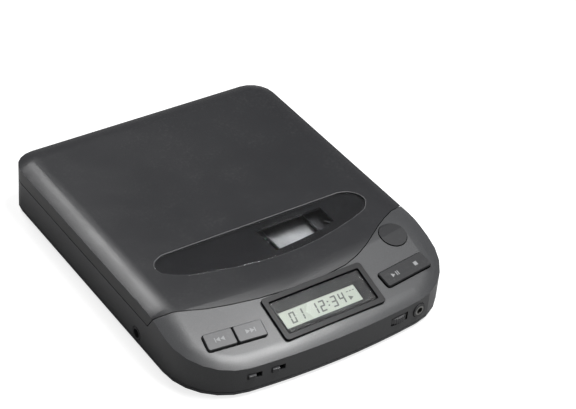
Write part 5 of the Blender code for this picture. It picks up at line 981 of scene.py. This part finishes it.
class PLAYER_OT_controls(bpy.types.Operator):
    """Finish the volume wheel, the slide switches and the sockets in the walls"""
    bl_idname = "player.controls"
    bl_label = "Wall controls"

    def execute(self, context):
        look = context.scene.player_controls
        moulding = {"speckle": 0.12, "dust": 0.12, **FINE_GRAIN}
        black = moulded("control_plastic", (0.035, 0.035, 0.037), 0.42, **moulding)
        low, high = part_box("volume_wheel")
        centre = (low + high) / 2
        radius = (high.x - low.x) / 2
        half = (high.z - low.z) / 2
        bm = bmesh.new()
        rim = radius - 0.35 * MM
        bore, edge, dish = 1.75 * MM, 0.3 * MM, 0.4 * MM
        dish_inner, dish_outer = 3 * MM, rim - 2 * MM
        lathe(bm, ((bore, -half), (rim - edge, -half), (rim, edge - half), (rim, half - edge),
                   (rim - edge, half), (dish_outer + dish, half), (dish_outer, half - dish),
                   (dish_inner, half - dish), (dish_inner - edge, half), (bore, half)), 72,
              Matrix.Translation(centre))
        hub = from_bmesh("wheel_hub", bm)
        ribs = grow("wheel_ribs", ring_tree(),
                    {"Count": look.wheel_ribs, "Radius": rim, "Material": black,
                     "Bar Size": (0.6 * MM, 0.36 * MM, 2 * half - 0.5 * MM)}, Matrix.Translation(centre))
        grey = moulded("wheel_plastic", (0.11, 0.11, 0.113), 0.45, **moulding)
        keep(merged("volume_wheel_ribbed", hub, ribs), "volume_wheel", grey)
        knob_plastic = bpy.data.materials["skip_key_plastic"]
        on_knob = Matrix.Translation((-1.3 * MM, -0.8 * MM, 0))
        for node, spot in (("hold_knob", HOLD_SPOT), ("bass_knob", BASS_SPOT)):
            skin(node, knob_plastic, SOFT_EDGE)
            ridges = grow(node + "_ridges", grid_tree(),
                          {"Columns": 4, "Rows": 1, "Width": 1.8 * MM, "Depth": 0.0,
                           "Bar Size": (0.25 * MM, 0.3 * MM, 1.5 * MM), "Material": black},
                          wall_frame(*spot) @ on_knob)
            extra(ridges, node, knob_plastic)
        for node in ("headphone_jack", "dc_jack"):
            skin(node, black, CRISP_EDGE)
        chrome = metal("nickel_sleeve", (0.3, 0.3, 0.29), 0.3)
        along_y = Matrix.Rotation(-math.pi / 2, 4, "X")
        bm = bmesh.new()
        bore, barrel, lip, edge = 1.45 * MM, 1.78 * MM, 2.2 * MM, 0.1 * MM
        front, back, end = -0.5 * MM, -0.36 * MM, 5 * MM
        lathe(bm, ((bore, front), (lip - edge, front), (lip, front + edge), (barrel, back), (barrel, end),
                   (bore, end)), 40, wall_frame(*HEADPHONE_SPOT) @ along_y)
        extra(from_bmesh("jack_sleeve", bm), "case", chrome)
        bm = bmesh.new()
        along_x = Matrix.Translation(POWER_SPOT) @ Matrix.Rotation(math.pi / 2, 4, "Y")
        pin, edge, tip, end = 0.75 * MM, 0.25 * MM, 1.6 * MM, 8 * MM
        lathe(bm, ((0, tip), (pin - edge, tip), (pin, tip + edge), (pin, end), (0, end)), 24, along_x)
        extra(from_bmesh("power_pin", bm), "case", chrome)
        bm = bmesh.new()
        inner, outer, front, back = 2.1 * MM, 2.7 * MM, -0.12 * MM, 0.4 * MM
        lathe(bm, ((inner, front), (outer, front), (outer, back), (inner, back)), 40, along_x)
        extra(from_bmesh("power_ring", bm), "case", black)
        steel = rolled_steel()
        for node in ("hold_switch", "bass_switch"):
            skin(node, steel, CRISP_EDGE)
        skin("volume_pot", moulded("pot_phenolic", (0.16, 0.11, 0.06), 0.5, speckle=0.1), CRISP_EDGE)
        return {"FINISHED"}


class PLAYER_OT_drive(bpy.types.Operator):
    """Finish the turntable, the motors, the pickup sled, its gears and its chassis"""
    bl_idname = "player.drive"
    bl_label = "Disc drive"

    def execute(self, context):
        black = black_plastic()
        steel = bright_steel()
        sheet = rolled_steel()
        platter = moulded("turntable_plastic", (0.025, 0.025, 0.026), 0.42, speckle=0.05)
        skin("turntable", platter, ROUND_EDGE, 3)
        skin("disc_claws", white_plastic(), MOULDED_EDGE)
        skin("mechanism_chassis", metal("zinc_plate", (0.82, 0.82, 0.83), 0.5, stretch=(3, 3, 3)), CRISP_EDGE)
        for node in ("spindle_shaft", "guide_rod_left", "guide_rod_right", "feed_gear_post"):
            skin(node, steel)
        can = metal("motor_can", (0.56, 0.56, 0.57), 0.3, stretch=(1, 1, 40))
        skin("spindle_motor", can, SOFT_EDGE)
        skin("sled_motor", can, SOFT_EDGE)
        skin("pickup_sled", metal("cast_alloy", (0.5, 0.51, 0.52), 0.48, (3, 3, 3), 0.02 * MM), SOFT_EDGE)
        skin("lens_holder", black, CRISP_EDGE)
        skin("objective_lens", clear("coated_lens", (0.62, 0.7, 0.92), 0.02, 1.6, 0.85))
        skin("feed_gear", white_plastic(), THIN_EDGE)
        skin("sled_motor_gear", metal("turned_brass", (0.72, 0.5, 0.2), 0.28), TOOTH_EDGE)
        rubber = soft_rubber()
        for node in ("damper_front_left", "damper_front_right", "damper_rear"):
            skin(node, rubber, SOFT_EDGE)
        skin("lid_switch", white_plastic(), MOULDED_EDGE)
        hub_rise = 2.6 * MM
        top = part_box("turntable")[1].z - hub_rise
        inner, outer, edge = 9.4 * MM, 13.2 * MM, 0.3 * MM
        under, side, crest = top - 0.1 * MM, top + 0.14 * MM, top + 0.2 * MM
        bm = bmesh.new()
        lathe(bm, ((inner, under), (outer, under), (outer, side), (outer - edge, crest),
                   (inner + edge, crest), (inner, side)), 72, Matrix.Translation((*SPINDLE, 0)))
        extra(from_bmesh("platter_pad", bm), "turntable", rubber)
        low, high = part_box("lens_holder")
        lens_y = (low.y + high.y) / 2
        front, rear, width = lens_y - 2.4 * MM, lens_y + 3.4 * MM, 1.2 * MM
        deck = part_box("pickup_sled")[1].z
        under, over = deck - 0.1 * MM, deck + 0.22 * MM
        bm = bmesh.new()
        for x in (-5.2 * MM, 4 * MM):
            block(bm, (x, front, under), (x + width, rear, over))
        extra(from_bmesh("lens_magnets", bm), "sled", sheet)
        return {"FINISHED"}


class PLAYER_OT_boards(bpy.types.Operator):
    """Finish the boards and chips, add small components, chip legs and the battery contacts"""
    bl_idname = "player.boards"
    bl_label = "Boards and contacts"

    def execute(self, context):
        board = circuit_board("green_board", (0.02, 0.13, 0.05))
        for node in ("main_board", "key_board"):
            skin(node, board)
        chip = moulded("chip_resin", (0.02, 0.02, 0.021), 0.5, speckle=0.1)
        legs = metal("tinned_legs", (0.7, 0.7, 0.7), 0.3)
        for node in ("servo_chip", "signal_chip"):
            skin(node, chip, CRISP_EDGE)
            low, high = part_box(node)
            size, middle = high - low, (low + high) / 2
            leg_pitch = 1.2 * MM
            rows = int(size.y / leg_pitch)
            row = grow(node + "_legs", grid_tree(),
                       {"Columns": 2, "Rows": rows, "Width": size.x + 0.8 * MM, "Depth": size.y - 1.6 * MM,
                        "Bar Size": (1.4 * MM, 0.4 * MM, 0.25 * MM), "Material": legs},
                       Matrix.Translation((middle.x, middle.y, low.z + 0.2 * MM)))
            extra(row, "case", legs)
        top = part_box("main_board")[1].z
        for name, seed, part, tone in (
                ("small_resistors", 3, (1.6 * MM, 0.8 * MM, 0.55 * MM), (0.03, 0.03, 0.03)),
                ("small_capacitors", 8, (2 * MM, 1.2 * MM, 0.9 * MM), (0.5, 0.38, 0.24))):
            finish = moulded(name + "_ceramic", tone, 0.45, speckle=0.05)
            strewn = grow(name, scatter_tree(),
                          {"Width": 40 * MM, "Depth": 26 * MM, "Spacing": 3.6 * MM, "Seed": seed,
                           "Bar Size": part, "Material": finish},
                          Matrix.Translation((-2 * MM + seed * MM, -14 * MM, top + part[2] / 2)))
            extra(strewn, "case", finish)
        plated = metal("nickel_plate", (0.7, 0.68, 0.62), 0.22)
        skin("battery_spring", plated)
        skin("battery_plate", plated, FINE_EDGE)
        return {"FINISHED"}


class PLAYER_OT_stage(bpy.types.Operator):
    """Put up the pale floor, the soft lamps, the world and the camera"""
    bl_idname = "player.stage"
    bl_label = "Stage"

    def execute(self, context):
        look = context.scene.player_stage
        scene = context.scene
        bm = bmesh.new()
        bmesh.ops.create_grid(bm, x_segments=1, y_segments=1, size=FLOOR_HALF)
        floor = from_bmesh("studio_floor", bm)
        made, tree, shader, place = new_finish("pale_floor")
        tone = noise_node(tree, place, scale=6.0, detail=3.0)
        patches = ramp_node(tree, tone, 0.3, 0.7, 0.0, 0.02)
        feed(mix_colour(tree, patches, look.floor_colour, (0.3, 0.3, 0.3)), shader.inputs["Base Color"])
        shader.inputs["Roughness"].default_value = 0.9
        shader.inputs["Specular IOR Level"].default_value = 0.1
        seen = tree.nodes.new("ShaderNodeLightPath").outputs["Is Camera Ray"]
        feed(math_node(tree, "MULTIPLY", seen, FLOOR_GLOW), shader.inputs["Emission Strength"])
        shader.inputs["Emission Color"].default_value = (1, 1, 1, 1)
        facing = tree.nodes.new("ShaderNodeNewGeometry")
        feed(math_node(tree, "SUBTRACT", 1.0, facing.outputs["Backfacing"]), shader.inputs["Alpha"])
        floor.data.materials.append(made)
        world = bpy.data.worlds.new("studio_world")
        world.use_nodes = True
        sky = world.node_tree.nodes["Background"]
        sky.inputs["Color"].default_value = (1, 1, 1, 1)
        seen = world.node_tree.nodes.new("ShaderNodeLightPath").outputs["Is Camera Ray"]
        strength = math_node(world.node_tree, "MULTIPLY_ADD", seen, 1 - ROOM_LIGHT, ROOM_LIGHT)
        feed(strength, sky.inputs["Strength"])
        scene.world = world
        for name, way, power, size in (
                ("key_lamp", (0.27, -0.17, 0.947), look.key_power, 0.36),
                ("fill_lamp", (-0.04, 0.62, 0.78), look.fill_power, 0.2)):
            lamp = bpy.data.lights.new(name, "AREA")
            lamp.energy = power
            lamp.shape = "DISK"
            lamp.size = size
            holder = bpy.data.objects.new(name, lamp)
            scene.collection.objects.link(holder)
            way = Vector(way).normalized()
            turn = way.to_track_quat("Z", "Y").to_matrix().to_4x4()
            holder.matrix_world = Matrix.Translation(LAMP_AIM + way * LAMP_DISTANCE) @ turn
        camera = bpy.data.cameras.new("photo_camera")
        camera.lens = look.lens
        camera.sensor_width = SENSOR_WIDTH
        camera.sensor_fit = "HORIZONTAL"
        camera.clip_start = 0.01
        seat = bpy.data.objects.new("photo_camera", camera)
        scene.collection.objects.link(seat)
        azimuth, elevation, roll = (math.radians(angle) for angle in CAMERA_ANGLES)
        back = Vector((math.sin(azimuth) * math.cos(elevation), -math.cos(azimuth) * math.cos(elevation),
                       math.sin(elevation)))
        right = Vector((math.cos(azimuth), math.sin(azimuth), 0))
        up = back.cross(right)
        across = right * math.cos(roll) + up * math.sin(roll)
        over = up * math.cos(roll) - right * math.sin(roll)
        place = (back * CAMERA_DISTANCE + across * CAMERA_SHIFT[0] + over * CAMERA_SHIFT[1]
                 + Vector((0, 0, CAMERA_AIM_HEIGHT)))
        turn = Matrix((across, over, back)).transposed().to_4x4()
        seat.matrix_world = Matrix.Translation(place) @ turn
        scene.camera = seat
        scene.view_settings.view_transform = "Standard"
        return {"FINISHED"}


class PLAYER_PT_sidebar(bpy.types.Panel):
    """Lists the builders of the disc player's pieces"""
    bl_idname = "PLAYER_PT_sidebar"
    bl_label = "Disc Player"
    bl_space_type = "VIEW_3D"
    bl_region_type = "UI"
    bl_category = "Disc Player"

    def draw(self, context):
        for group in ("player_case", "player_display", "player_controls", "player_stage"):
            box = self.layout.box()
            settings = getattr(context.scene, group)
            for key in settings.bl_rna.properties.keys():
                if key not in {"rna_type", "name"}:
                    box.prop(settings, key)
        for operator in OPERATORS:
            self.layout.operator(operator.bl_idname)


OPERATORS = (PLAYER_OT_shells, PLAYER_OT_underside, PLAYER_OT_window, PLAYER_OT_display, PLAYER_OT_keys,
             PLAYER_OT_controls, PLAYER_OT_drive, PLAYER_OT_boards, PLAYER_OT_stage)
SETTINGS = {"player_case": CaseLook, "player_display": DisplayLook, "player_controls": ControlLook,
            "player_stage": StageLook}


def register():
    for group in SETTINGS.values():
        bpy.utils.register_class(group)
    for name, group in SETTINGS.items():
        setattr(bpy.types.Scene, name, bpy.props.PointerProperty(type=group))
    for operator in OPERATORS:
        bpy.utils.register_class(operator)
    bpy.utils.register_class(PLAYER_PT_sidebar)


def unregister():
    bpy.utils.unregister_class(PLAYER_PT_sidebar)
    for operator in reversed(OPERATORS):
        bpy.utils.unregister_class(operator)
    for name, group in SETTINGS.items():
        delattr(bpy.types.Scene, name)
        bpy.utils.unregister_class(group)


def main():
    """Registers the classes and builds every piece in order."""
    register()
    bpy.ops.player.shells()
    bpy.ops.player.underside()
    bpy.ops.player.window()
    bpy.ops.player.display()
    bpy.ops.player.keys()
    bpy.ops.player.controls()
    bpy.ops.player.drive()
    bpy.ops.player.boards()
    bpy.ops.player.stage()


if __name__ == "__main__":
    main()
